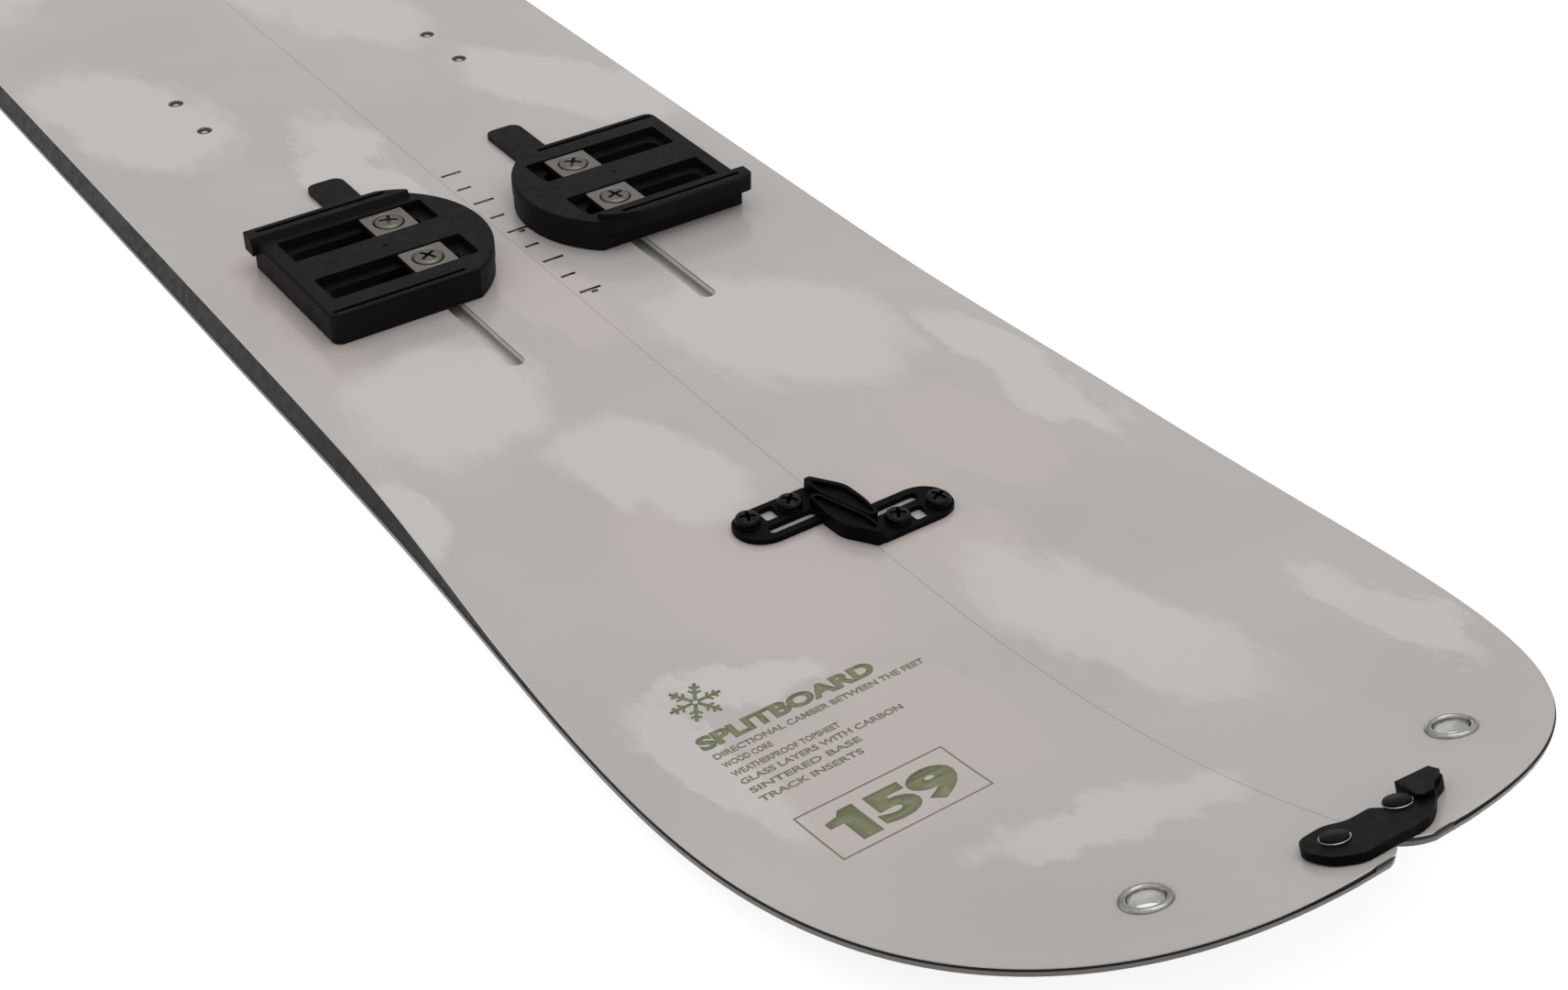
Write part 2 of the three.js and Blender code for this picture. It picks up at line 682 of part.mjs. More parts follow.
function add(name, geometry, finish, parent = board) {
  const mesh = new THREE.Mesh(geometry, finish);
  mesh.name = name;
  parent.add(mesh);
  return mesh;
}

const SIDES = [['left', 1], ['right', -1]];
const ENDS = [['nose', 1], ['tail', -1]];

function addHalf(sideName, side) {
  const pinY = side > 0 ? CLIP_POST_Y : -CLIP_PIVOT_Y;
  const place = (name, geometry, finish) => add(`${sideName}_${name}`, reflect(geometry, 1, side), finish);
  place('topsheet', topsheet(pinY), topsheetGloss);
  place('core', core(pinY), coreWood);
  place('base_sheet', baseSheet(), baseBlack);
  place('outer_sidewall', sidewall('outer'), sidewallBlack);
  place('seam_sidewall', sidewall('seam'), sidewallBlack);
  place('outer_steel_edge', steelEdge('outer'), edgeSteel);
  place('seam_steel_edge', steelEdge('seam'), edgeSteel);
}

function addFoot(endName, end, sideName, side) {
  const prefix = `${endName}_${sideName}`;
  const foot = new THREE.Group();
  foot.position.set(end * FOOT_X, 0, DECK_HEIGHT);
  board.add(foot);
  add(`${prefix}_track`, reflect(track(), end, side), trackAluminium);
  add(`${prefix}_puck`, reflect(puck(side), end, side), puckPlastic, foot);
  add(`${prefix}_puck_plate`, reflect(basePlate(), end, side), puckPlastic, foot);
  add(`${prefix}_sliding_nut`, reflect(slidingNut(), end, side), stainless, foot);
  for (const [place, x] of [['fore', RECESS_X], ['aft', -RECESS_X]]) {
    const washer = add(`${prefix}_${place}_washer`, squareWasher(), stainless, foot);
    washer.position.set(x, side * TRACK_Y, 0);
    const screw = add(`${prefix}_${place}_screw`, puckScrew(), stainless, foot);
    screw.position.set(x, side * TRACK_Y, 0);
  }
}

function addHooks(endName, end) {
  const hook = rightHook().translate(HOOK_X, 0, DECK_HEIGHT);
  add(`${endName}_right_hook`, reflect(hook, end, 1), hookPlastic);
  const turnedHook = rightHook().rotateZ(Math.PI).translate(HOOK_X, 0, DECK_HEIGHT);
  add(`${endName}_left_hook`, reflect(turnedHook, end, 1), hookPlastic);
}

function addTip(endName, end) {
  add(`${endName}_clip`, reflect(seat(tipClip(), CLIP_X, CLIP_PIVOT_Y), end, 1), hookPlastic);
  add(`${endName}_clip_pivot`, reflect(seat(headedPin(), CLIP_X, CLIP_PIVOT_Y), end, 1), pinBlack);
  add(`${endName}_catch_post`, reflect(seat(headedPin(), CLIP_X, CLIP_POST_Y), end, 1), pinBlack);
  for (const [sideName, side] of SIDES) {
    add(`${endName}_${sideName}_eyelet`, reflect(seat(eyelet(), EYELET_X, EYELET_Y), end, side), eyeletSteel);
  }
}

for (const [sideName, side] of SIDES) {
  addHalf(sideName, side);
}
for (const [endName, end] of ENDS) {
  for (const [sideName, side] of SIDES) {
    addFoot(endName, end, sideName, side);
  }
  addHooks(endName, end);
  addTip(endName, end);
}

export default board;
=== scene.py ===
"""Splitboard: the visual model and its studio scene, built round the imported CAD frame."""
import math

import bmesh
import bpy
from mathutils import Matrix, Vector


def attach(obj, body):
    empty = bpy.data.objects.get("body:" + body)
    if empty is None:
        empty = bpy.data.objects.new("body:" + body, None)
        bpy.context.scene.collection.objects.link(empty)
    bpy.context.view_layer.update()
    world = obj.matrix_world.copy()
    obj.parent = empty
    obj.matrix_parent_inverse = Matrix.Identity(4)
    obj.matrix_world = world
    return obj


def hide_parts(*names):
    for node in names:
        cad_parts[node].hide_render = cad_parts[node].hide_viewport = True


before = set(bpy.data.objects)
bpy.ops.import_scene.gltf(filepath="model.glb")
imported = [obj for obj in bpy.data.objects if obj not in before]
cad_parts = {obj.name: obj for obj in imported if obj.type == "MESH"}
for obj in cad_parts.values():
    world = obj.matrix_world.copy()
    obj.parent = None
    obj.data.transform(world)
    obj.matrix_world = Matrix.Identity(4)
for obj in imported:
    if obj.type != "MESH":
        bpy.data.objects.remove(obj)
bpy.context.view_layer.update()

MM = 0.001

# ---------- dimensions, in millimetres, as in the CAD model ----------

HALF_LENGTH = 795.0
WAIST_HALF_WIDTH = 130.4
WIDEST_HALF_WIDTH = 138.2
WIDEST_X = 610.0
TIP_END_X = 795.4
TIP_CORNER_RADIUS = 12.0
TIP_CLOSING_Y = 15.0
SEAM_GAP = 0.14      # the CAD model leaves 0.6; a real seam closes to a hairline

DECK_HEIGHT = 10.5
TIP_THICKNESS = 4.0
THINNING_START = 290
THINNING_END = 620
BEVEL_INSET = 3.8
BEVEL_FADE = 3.2
BEVEL_FADE_START = 400
BEVEL_FADE_END = 540
RISE_START_X = 527.0
RISE_LENGTH = 265.0
RISE_HEIGHT = 48.5
RISE_POWER = 2.83

BASE_SHEET = 1.3
EDGE_WIDTH = 2.2
EDGE_HEIGHT = 2.0
SIDEWALL_WIDTH = 6.0
TOPSHEET = 0.7

FOOT_X = 293.5
TRACK_X = FOOT_X + 6
TRACK_Y = 44.65
TRACK_LENGTH = 180.0
TRACK_WIDTH = 16.0
TRACK_TOP = 9.4
TRACK_BOTTOM = 3.2
CHANNEL_WIDTH = 13.0
CHANNEL_TOP = 7.9
THROAT_WIDTH = 6.6
SLOT_LENGTH = 171.0
SLOT_WIDTH = 7.5

TICK_START = 2.0
TICK_LONG_END = 11.4
TICK_SHORT_END = 8.3
TICK_OVERRUN = 0.4
TICK_WIDTH = 1.4

INSERT_XS = (96.3, 129.6)
INSERT_Y = 66.0
INSERT_RADIUS = 3.5

HOOK_X = 537.6
HOOK_SCREWS = ((-14.2, -31.3), (-14.2, -13.3))
PLATE_BOTTOM = 0.4
PLATE_TOP = 2.3
PLATE_RECESS_TOP = 2.6
TAB_REACH = 84.3
TAB_HALF_WIDTH = 8.5
TAB_RECESS_REACH = 84.7
TAB_RECESS_HALF_WIDTH = 8.9
TAB_ROOT = 10
PLATE_SLOT_WIDTH = 7
WASHER_HALF_X = 8.5
WASHER_HALF_Y = 9.8
COUNTERSINK_RADIUS = 7.0
WASHER_HOLE_RADIUS = 4.6

CLIP_X = 779.5
CLIP_PIVOT_Y = -12.2
CLIP_POST_Y = 12.1
CLIP_LIFT = 0.5
CLIP_THICKNESS = 2.8
CLIP_NOSE_THICKNESS = 4.3
PIN_DEPTH = 1.9
PIN_HOLE_RADIUS = 3.35
EYELET_X = 757.5
EYELET_Y = 60.0
EYELET_HOLE_RADIUS = 6.5

SIDES = (("left", 1), ("right", -1))
ENDS = (("nose", 1), ("tail", -1))


# ---------- curves of the board ----------

def smooth_step(value, start, end):
    t = min(max((value - start) / (end - start), 0.0), 1.0)
    return t * t * (3 - 2 * t)


def top_height(x):
    reach = max(abs(x) - RISE_START_X, 0.0)
    return DECK_HEIGHT + RISE_HEIGHT * (reach / RISE_LENGTH) ** RISE_POWER


def top_slope(x):
    reach = max(abs(x) - RISE_START_X, 0.0)
    steepness = RISE_HEIGHT * RISE_POWER / RISE_LENGTH * (reach / RISE_LENGTH) ** (RISE_POWER - 1)
    return math.copysign(steepness, x)


def base_height(x):
    thinned = smooth_step(abs(x), THINNING_START, THINNING_END)
    thickness = DECK_HEIGHT - (DECK_HEIGHT - TIP_THICKNESS) * thinned
    return top_height(x) - thickness


def bevel_inset(x):
    return BEVEL_INSET - BEVEL_FADE * smooth_step(abs(x), BEVEL_FADE_START, BEVEL_FADE_END)


def outer_rim(x):
    reach = abs(x)
    if reach <= WIDEST_X:
        flare = (1 - math.cos(math.pi * (reach / WIDEST_X) ** 3.6)) / 2
        return WAIST_HALF_WIDTH + (WIDEST_HALF_WIDTH - WAIST_HALF_WIDTH) * flare
    t = (reach - WIDEST_X) / (TIP_END_X - WIDEST_X)
    return WIDEST_HALF_WIDTH * (1 - t ** 2.4) ** 0.355


def seam_rim(x):
    turn = max(abs(x) - (TIP_END_X - TIP_CORNER_RADIUS), 0.0)
    return SEAM_GAP / 2 + TIP_CORNER_RADIUS - math.sqrt(TIP_CORNER_RADIUS ** 2 - turn ** 2)


def edge_drop(x, y):
    """How far the top surface dips at its rim: nothing between the feet or at the seam, a soft
    shoulder round the ends."""
    return 0.75 * smooth_step(abs(x), 430, 580) * smooth_step(abs(y), 16, 52)


def rim_point(x, edge, inset):
    """The point on a rim at station x, moved inwards along the rim's normal."""
    rim = outer_rim if edge == "outer" else seam_rim
    step = 0.005
    slope = (rim(x + step) - rim(x - step)) / (2 * step)
    outward = 1 if edge == "outer" else -1
    length = math.hypot(slope, 1)
    return x + outward * slope / length * inset, rim(x) - outward / length * inset


BODY_STEP = 15
TIP_STEPS = 52


def stations():
    reaches = [float(x) for x in range(BODY_STEP, int(WIDEST_X), BODY_STEP)]
    for i in range(TIP_STEPS + 1):
        reaches.append(WIDEST_X + (HALF_LENGTH - WIDEST_X) * math.sin(math.pi / 2 * i / TIP_STEPS))
    return [-x for x in reversed(reaches)] + [0.0] + reaches


STATIONS = stations()


# ---------- mesh helpers: everything below is in millimetres until it becomes an object ----------

def make_object(name, points, faces, finish=None):
    mesh = bpy.data.meshes.new(name)
    mesh.from_pydata([(x * MM, y * MM, z * MM) for x, y, z in points], [], faces)
    mesh.validate()
    work = bmesh.new()
    work.from_mesh(mesh)
    bmesh.ops.recalc_face_normals(work, faces=work.faces)
    work.to_mesh(mesh)
    work.free()
    piece = bpy.data.objects.new(name, mesh)
    bpy.context.scene.collection.objects.link(piece)
    if finish:
        mesh.materials.append(finish)
    return piece


def prism(outline, z0, z1, name="prism"):
    count = len(outline)
    points = [(x, y, z0) for x, y in outline] + [(x, y, z1) for x, y in outline]
    faces = [tuple(range(count)), tuple(range(2 * count - 1, count - 1, -1))]
    for i in range(count):
        j = (i + 1) % count
        faces.append((i, j, j + count, i + count))
    return make_object(name, points, faces)


def block(x0, y0, z0, x1, y1, z1):
    return prism([(x0, y0), (x1, y0), (x1, y1), (x0, y1)], z0, z1)


def turned(profile, segments=48, name="turned"):
    """A closed solid of revolution about +Z from a list of (radius, height)."""
    points = []
    faces = []
    rings = []
    for radius, height in profile:
        if radius == 0:
            rings.append([len(points)] * segments)
            points.append((0, 0, height))
            continue
        rings.append(list(range(len(points), len(points) + segments)))
        for k in range(segments):
            angle = 2 * math.pi * k / segments
            points.append((radius * math.cos(angle), radius * math.sin(angle), height))
    closed = profile[0][0] != 0
    pairs = list(zip(rings, rings[1:])) + ([(rings[-1], rings[0])] if closed else [])
    for low, high in pairs:
        for k in range(segments):
            n = (k + 1) % segments
            corners = [low[k], low[n], high[n], high[k]]
            face = [c for i, c in enumerate(corners) if c not in corners[:i]]
            if len(face) > 2:
                faces.append(tuple(face))
    return make_object(name, points, faces)


def arc(cx, cy, radius, start, end, steps=10):
    angles = [math.radians(start + (end - start) * i / steps) for i in range(steps + 1)]
    return [(cx + radius * math.cos(a), cy + radius * math.sin(a)) for a in angles]


def circle(cx, cy, radius, steps=40):
    return arc(cx, cy, radius, 0, 360 - 360 / steps, steps - 1)


def stadium(cx, cy, length, width):
    straight = (length - width) / 2
    right = arc(cx + straight, cy, width / 2, -90, 90, 16)
    return right + arc(cx - straight, cy, width / 2, 90, 270, 16)


def upright_stadium(cx, cy, length, width):
    return [(cx + y - cy, cy + x - cx) for x, y in reversed(stadium(cx, cy, length, width))]


def rounded_box(x0, y0, x1, y1, radius, steps=6):
    return (arc(x1 - radius, y0 + radius, radius, -90, 0, steps)
            + arc(x1 - radius, y1 - radius, radius, 0, 90, steps)
            + arc(x0 + radius, y1 - radius, radius, 90, 180, steps)
            + arc(x0 + radius, y0 + radius, radius, 180, 270, steps))


def rounded_polygon(corners, radius, steps=4):
    """A polygon with every corner rounded; radius is one number or one per corner."""
    outline = []
    count = len(corners)
    radii = radius if isinstance(radius, (list, tuple)) else [radius] * count
    for i, (x, y) in enumerate(corners):
        if radii[i] == 0:
            outline.append((x, y))
            continue
        here = Vector((x, y))
        before = Vector(corners[i - 1]) - here
        after = Vector(corners[(i + 1) % count]) - here
        cut = min(radii[i], before.length * 0.45, after.length * 0.45)
        start = here + before.normalized() * cut
        end = here + after.normalized() * cut
        for k in range(steps + 1):
            t = k / steps
            point = start * (1 - t) ** 2 + here * 2 * t * (1 - t) + end * t ** 2
            outline.append((point.x, point.y))
    return outline


def apply_modifiers(piece):
    graph = bpy.context.evaluated_depsgraph_get()
    mesh = bpy.data.meshes.new_from_object(piece.evaluated_get(graph))
    piece.modifiers.clear()
    piece.data = mesh
    return piece


def combine(piece, others, operation):
    for other in others:
        step = piece.modifiers.new(operation, "BOOLEAN")
        step.operation = operation
        step.solver = "EXACT"
        step.object = other
    apply_modifiers(piece)
    for other in others:
        bpy.data.objects.remove(other)
    return piece


def cut(piece, *cutters):
    return combine(piece, cutters, "DIFFERENCE")


def join(piece, *others):
    return combine(piece, others, "UNION")


def merge_loose(pieces):
    """One object of several bodies that don't touch, to cut or place them together."""
    first, *rest = pieces
    work = bmesh.new()
    for piece in pieces:
        work.from_mesh(piece.data)
    work.to_mesh(first.data)
    work.free()
    for piece in rest:
        bpy.data.objects.remove(piece)
    return first


def copy_of(piece, matrix, name):
    mesh = piece.data.copy()
    mesh.transform(matrix)
    if matrix.determinant() < 0:
        mesh.flip_normals()
    twin = bpy.data.objects.new(name, mesh)
    bpy.context.scene.collection.objects.link(twin)
    return twin


def at(x, y, z):
    return Matrix.Translation((x * MM, y * MM, z * MM))


def mirrored(end, side):
    return Matrix.Diagonal((end, side, 1, 1))


def seat(x, y):
    """Stands a piece built on the plane Z = 0 square on the top surface at x, y."""
    return at(x, y, top_height(x)) @ Matrix.Rotation(-math.atan(top_slope(x)), 4, "Y")


def seated(piece, x, y):
    piece.data.transform(seat(x, y))
    return piece


def finish(piece, body, finish_material, slot, replaced=(), bevel=0.0, crease=32, steps=2):
    """Smooths, softens the edges, paints and hangs a piece on its body."""
    mesh = piece.data
    mesh.materials.clear()
    mesh.materials.append(finish_material)
    mesh.polygons.foreach_set("material_index", [0] * len(mesh.polygons))
    mesh.shade_smooth()
    mesh.set_sharp_from_angle(angle=math.radians(crease))
    if bevel:
        soften = piece.modifiers.new("soften", "BEVEL")
        soften.width = bevel * MM
        soften.segments = steps
        soften.limit_method = "ANGLE"
        soften.angle_limit = math.radians(35)
        soften.harden_normals = True
    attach(piece, body)
    if replaced:
        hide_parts(*replaced)
    return piece


# ---------- materials ----------

def node(tree, kind, inputs=None, **settings):
    """A shader node with its settings; inputs maps socket names to values or to other sockets."""
    new = tree.nodes.new(kind)
    for key, value in settings.items():
        setattr(new, key, value)
    for key, value in (inputs or {}).items():
        socket = new.inputs[key]
        if isinstance(value, bpy.types.NodeSocket):
            tree.links.new(value, socket)
        else:
            socket.default_value = value
    return new


def rgb(r, g, b):
    """An sRGB colour given in 0 to 255, as the linear colour that shaders take."""
    def linear(v):
        v /= 255
        return v / 12.92 if v <= 0.04045 else ((v + 0.055) / 1.055) ** 2.4
    return (linear(r), linear(g), linear(b), 1)


def blank(name, roughness, metallic=0.0, specular=0.5):
    new = bpy.data.materials.new(name)
    new.use_nodes = True
    shader = new.node_tree.nodes["Principled BSDF"]
    shader.inputs["Roughness"].default_value = roughness
    shader.inputs["Metallic"].default_value = metallic
    shader.inputs["Specular IOR Level"].default_value = specular
    place = new.node_tree.nodes.new("ShaderNodeTexCoord").outputs["Object"]
    return new, new.node_tree, shader, place


def noise(tree, place, scale, detail=4.0, stretch=(1, 1, 1), roughness=0.5):
    spread = node(tree, "ShaderNodeMapping", {"Vector": place, "Scale": stretch})
    return node(tree, "ShaderNodeTexNoise", {
        "Vector": spread.outputs["Vector"], "Scale": scale, "Detail": detail, "Roughness": roughness,
    }).outputs["Fac"]


def ramp(tree, value, low, high, start=0.0, end=1.0):
    return node(tree, "ShaderNodeMapRange", {
        "Value": value, "From Min": low, "From Max": high, "To Min": start, "To Max": end,
    }, interpolation_type="SMOOTHSTEP").outputs["Result"]


def mix(tree, amount, first, second):
    blend = node(tree, "ShaderNodeMix", data_type="RGBA")
    for socket, value in ((blend.inputs[0], amount), (blend.inputs[6], first), (blend.inputs[7], second)):
        if isinstance(value, bpy.types.NodeSocket):
            tree.links.new(value, socket)
        else:
            socket.default_value = value
    return blend.outputs[2]


def math_node(tree, operation, first, second=0.0):
    new = node(tree, "ShaderNodeMath", operation=operation)
    for socket, value in ((new.inputs[0], first), (new.inputs[1], second)):
        if isinstance(value, bpy.types.NodeSocket):
            tree.links.new(value, socket)
        else:
            socket.default_value = value
    return new.outputs[0]


def bump(tree, shader, height, strength, distance):
    relief = node(tree, "ShaderNodeBump", {"Height": height, "Strength": strength, "Distance": distance})
    tree.links.new(relief.outputs["Normal"], shader.inputs["Normal"])


CLOUD_RAGGEDNESS = 0.05
CLOUD_STRENGTH = 0.85
BLUSH_STRENGTH = 0.9

# Light patches of the topsheet's printed clouds: centre x, y, half length, half width, turn in degrees.
CLOUDS = (
    (100, -90, 70, 34, 15), (232, -34, 95, 20, -10), (392, -80, 44, 40, 25), (474, -40, 46, 26, 20),
    (420, 50, 62, 40, 30), (500, 112, 60, 13, 4), (640, 36, 68, 26, 12), (696, 104, 48, 14, -8),
    (718, -38, 42, 15, 73), (620, -110, 46, 14, 8), (590, -80, 32, 11, 80), (444, -126, 34, 14, 0),
    (30, 40, 80, 30, 20), (180, 95, 70, 26, 25),
)
# Warmer, pinkish stretches between them.
BLUSHES = (
    (520, 72, 46, 26, 20), (544, -44, 72, 36, 9), (643, -44, 42, 24, 21), (562, 22, 46, 22, 8),
    (300, -98, 70, 20, 0), (345, -10, 55, 18, 0), (655, -78, 40, 40, 0),
)


def patches(tree, place, spots):
    """1 inside any of the spots, falling softly to 0 outside; the far half of the board repeats them."""
    total = None
    for x, y, length, width, turn in spots:
        local = node(tree, "ShaderNodeMapping", {
            "Vector": place, "Location": (x * MM, y * MM, 0), "Rotation": (0, 0, math.radians(turn)),
            "Scale": (length * MM, width * MM, 1),
        }, vector_type="TEXTURE")
        distance = node(tree, "ShaderNodeVectorMath", {0: local.outputs["Vector"]}, operation="LENGTH")
        inside = ramp(tree, distance.outputs["Value"], 1.12, 0.72)
        total = inside if total is None else math_node(tree, "MAXIMUM", total, inside)
    return total


def topsheet_material():
    new, tree, shader, place = blank("topsheet_gloss", 0.2, specular=0.45)
    split = node(tree, "ShaderNodeSeparateXYZ", {"Vector": place})
    folded = node(tree, "ShaderNodeCombineXYZ", {
        "X": math_node(tree, "ABSOLUTE", split.outputs["X"]), "Y": split.outputs["Y"], "Z": 0.0,
    }).outputs["Vector"]
    streaked = node(tree, "ShaderNodeMapping", {"Vector": place, "Scale": (0.5, 1, 1)}).outputs["Vector"]
    ragged = node(tree, "ShaderNodeTexNoise", {
        "Vector": streaked, "Scale": 42.0, "Detail": 8.0, "Roughness": 0.62,
    }, noise_dimensions="3D").outputs["Color"]
    centred = node(tree, "ShaderNodeVectorMath", {0: ragged, 1: (0.5, 0.5, 0.5)}, operation="SUBTRACT")
    shift = node(tree, "ShaderNodeVectorMath", {
        0: centred.outputs["Vector"], "Scale": CLOUD_RAGGEDNESS,
    }, operation="SCALE")
    warped = node(tree, "ShaderNodeVectorMath", {0: folded, 1: shift.outputs["Vector"]}, operation="ADD")
    flat = node(tree, "ShaderNodeVectorMath", {
        0: warped.outputs["Vector"], 1: (1, 1, 0),
    }, operation="MULTIPLY").outputs["Vector"]
    drift = ramp(tree, noise(tree, place, 9, 3), 0.35, 0.65)
    grey = mix(tree, drift, rgb(*TOPSHEET_GREY), rgb(*TOPSHEET_GREY_DEEP))
    blush = math_node(tree, "MULTIPLY", patches(tree, flat, BLUSHES), BLUSH_STRENGTH)
    pink = mix(tree, blush, grey, rgb(*TOPSHEET_PINK))
    cloud = math_node(tree, "MULTIPLY", patches(tree, flat, CLOUDS), CLOUD_STRENGTH)
    colour = mix(tree, cloud, pink, rgb(*TOPSHEET_LIGHT))
    tree.links.new(colour, shader.inputs["Base Color"])
    gloss = ramp(tree, noise(tree, place, 160, 5), 0.3, 0.7, 0.16, 0.24)
    tree.links.new(gloss, shader.inputs["Roughness"])
    bump(tree, shader, noise(tree, place, 420, 3), 0.04, 0.0004)
    return new


def moulded_material(name, colour, roughness, grain=2600, specular=0.2):
    """Black moulded plastic with a fine spark-eroded grain and slightly rubbed patches."""
    new, tree, shader, place = blank(name, roughness, specular=specular)
    worn = ramp(tree, noise(tree, place, 60, 4), 0.45, 0.75, 0, 0.6)
    lighter = tuple(min(v * 1.25 + 2, 255) for v in colour)
    tree.links.new(mix(tree, worn, rgb(*colour), rgb(*lighter)), shader.inputs["Base Color"])
    spread = ramp(tree, noise(tree, place, 240, 3), 0.3, 0.7, roughness - 0.06, roughness + 0.08)
    tree.links.new(spread, shader.inputs["Roughness"])
    bump(tree, shader, noise(tree, place, grain, 2), 0.22, 0.0001)
    return new


def gloss_material(name, colour, roughness, specular=0.12):
    """Smooth black-finished metal."""
    new, tree, shader, place = blank(name, roughness, specular=specular)
    handled = ramp(tree, noise(tree, place, 300, 3), 0.4, 0.7, 0, 0.5)
    lighter = tuple(v * 1.3 + 3 for v in colour)
    tree.links.new(mix(tree, handled, rgb(*colour), rgb(*lighter)), shader.inputs["Base Color"])
    return new


def brushed_material(name, colour, roughness, stretch, scale=900, metallic=1.0):
    """Metal with fine lines along one direction."""
    new, tree, shader, place = blank(name, roughness, metallic=metallic)
    lines = noise(tree, place, scale, 3, stretch)
    darker = tuple(v * 0.78 for v in colour)
    tree.links.new(mix(tree, lines, rgb(*darker), rgb(*colour)), shader.inputs["Base Color"])
    spread = ramp(tree, lines, 0.3, 0.7, roughness - 0.05, roughness + 0.1)
    tree.links.new(spread, shader.inputs["Roughness"])
    bump(tree, shader, lines, 0.12, 0.00005)
    return new


def wood_material():
    new, tree, shader, place = blank("core_wood", 0.65)
    strips = node(tree, "ShaderNodeTexWave", {
        "Vector": place, "Scale": 18.0, "Distortion": 2.5, "Detail": 3.0,
    }, bands_direction="Y").outputs["Fac"]
    grain = noise(tree, place, 120, 6, (0.08, 1, 1))
    tone = math_node(tree, "MULTIPLY", strips, grain)
    tree.links.new(mix(tree, tone, rgb(208, 172, 118), rgb(158, 114, 68)), shader.inputs["Base Color"])
    bump(tree, shader, grain, 0.2, 0.0002)
    return new


def ink_material(name, colour):
    """Printing ink under the clear gloss: even colour with a faint screen grain."""
    new, tree, shader, place = blank(name, 0.24, specular=0.45)
    grain = ramp(tree, noise(tree, place, 1500, 2), 0.35, 0.65, 0, 0.5)
    lighter = tuple(min(v * 1.08 + 3, 255) for v in colour)
    tree.links.new(mix(tree, grain, rgb(*colour), rgb(*lighter)), shader.inputs["Base Color"])
    return new


TOPSHEET_GREY = (170, 166, 163)
TOPSHEET_GREY_DEEP = (165, 161, 158)
TOPSHEET_PINK = (175, 166, 162)
TOPSHEET_LIGHT = (183, 180, 177)

topsheet_gloss = topsheet_material()
sidewall_black = moulded_material("sidewall_black", (24, 23, 24), 0.5, 900)
base_black = brushed_material("base_black", (30, 30, 33), 0.42, (0.05, 1, 1), 700, metallic=0.0)
edge_steel = brushed_material("edge_steel", (102, 100, 98), 0.38, (0.06, 1, 1))
track_metal = brushed_material("track_metal", (226, 224, 222), 0.45, (0.06, 1, 1), metallic=0.1)
puck_plastic = moulded_material("puck_plastic", (17, 15, 17), 0.5, specular=0.08)
hook_plastic = moulded_material("hook_plastic", (7, 7, 8), 0.42, specular=0.04)
screw_black = gloss_material("screw_black", (3, 3, 3), 0.16)
pin_black = gloss_material("pin_black", (16, 14, 15), 0.36, specular=0.03)
washer_steel = brushed_material("washer_steel", (128, 124, 118), 0.36, (1, 0.08, 1), 1600)
screw_steel = brushed_material("screw_steel", (112, 109, 105), 0.24, (1, 1, 1), 1200)
nut_steel = brushed_material("nut_steel", (150, 148, 144), 0.35, (0.1, 1, 1), 1200)
eyelet_chrome = brushed_material("eyelet_chrome", (176, 174, 170), 0.16, (1, 1, 1), 700)
core_wood = wood_material()
print_green = ink_material("print_green", (104, 108, 76))
print_black = ink_material("print_black", (14, 13, 13))
insert_dark = brushed_material("insert_dark", (70, 68, 66), 0.35, (1, 1, 1), 900)


# ---------- the two halves ----------

def strip(name, edge, corners):
    """A bar along one rim. Each corner is (inset, height), both functions of the station."""
    points = []
    rows = [(-HALF_LENGTH, True)] + [(x, False) for x in STATIONS] + [(HALF_LENGTH, True)]
    for x, closes in rows:
        for inset, height in corners:
            if closes:
                side = 1 if edge == "outer" else -1
                px, py = x - math.copysign(inset(x), x), TIP_CLOSING_Y + side * 0.05
            else:
                px, py = rim_point(x, edge, inset(x))
            points.append((px, py, height(px, py)))
    count = len(corners)
    faces = [tuple(range(count)), tuple(range(len(points) - 1, len(points) - count - 1, -1))]
    for r in range(len(rows) - 1):
        for c in range(count):
            here = r * count + c
            after = r * count + (c + 1) % count
            faces.append((here, after, after + count, here + count))
    return make_object(name, points, faces)


def constant(value):
    return lambda x: value


def rim_top(depth):
    return lambda x, y: top_height(x) - edge_drop(x, y) - depth


def steel_edge(name, edge):
    def low(x, y):
        return base_height(x)

    def high(x, y):
        return base_height(x) + EDGE_HEIGHT

    def chamfer(x, y):
        return base_height(x) + 0.25
    width = constant(EDGE_WIDTH)
    soft = constant(0.25)
    zero = constant(0.0)
    return strip(name, edge, [
        (soft, low), (width, low), (width, high), (zero, high), (zero, chamfer),
    ])


def sidewall(name, edge):
    def low(x, y):
        return base_height(x) + EDGE_HEIGHT + 0.02

    def seam_top(x, y):
        return top_height(x) - TOPSHEET - 0.02
    inner = constant(SIDEWALL_WIDTH)
    if edge == "seam":
        near = constant(0.02)
        top = seam_top
        return strip(name, edge, [(near, low), (inner, low), (inner, top), (near, top)])
    top = rim_top(TOPSHEET + 0.02)
    return strip(name, edge, [
        (constant(0.35), low), (inner, low), (inner, rim_top(TOPSHEET + 0.3)),
        (lambda x: bevel_inset(x) + 0.1, top),
    ])


def offset_outline(edge, inset):
    pairs = sorted(rim_point(x, edge, inset(x)) for x in STATIONS)
    return pairs


def interpolate(pairs, x):
    if x <= pairs[0][0]:
        return pairs[0][1]
    for (x0, y0), (x1, y1) in zip(pairs, pairs[1:]):
        if x <= x1:
            return y0 + (y1 - y0) * (x - x0) / max(x1 - x0, 1e-9)
    return pairs[-1][1]


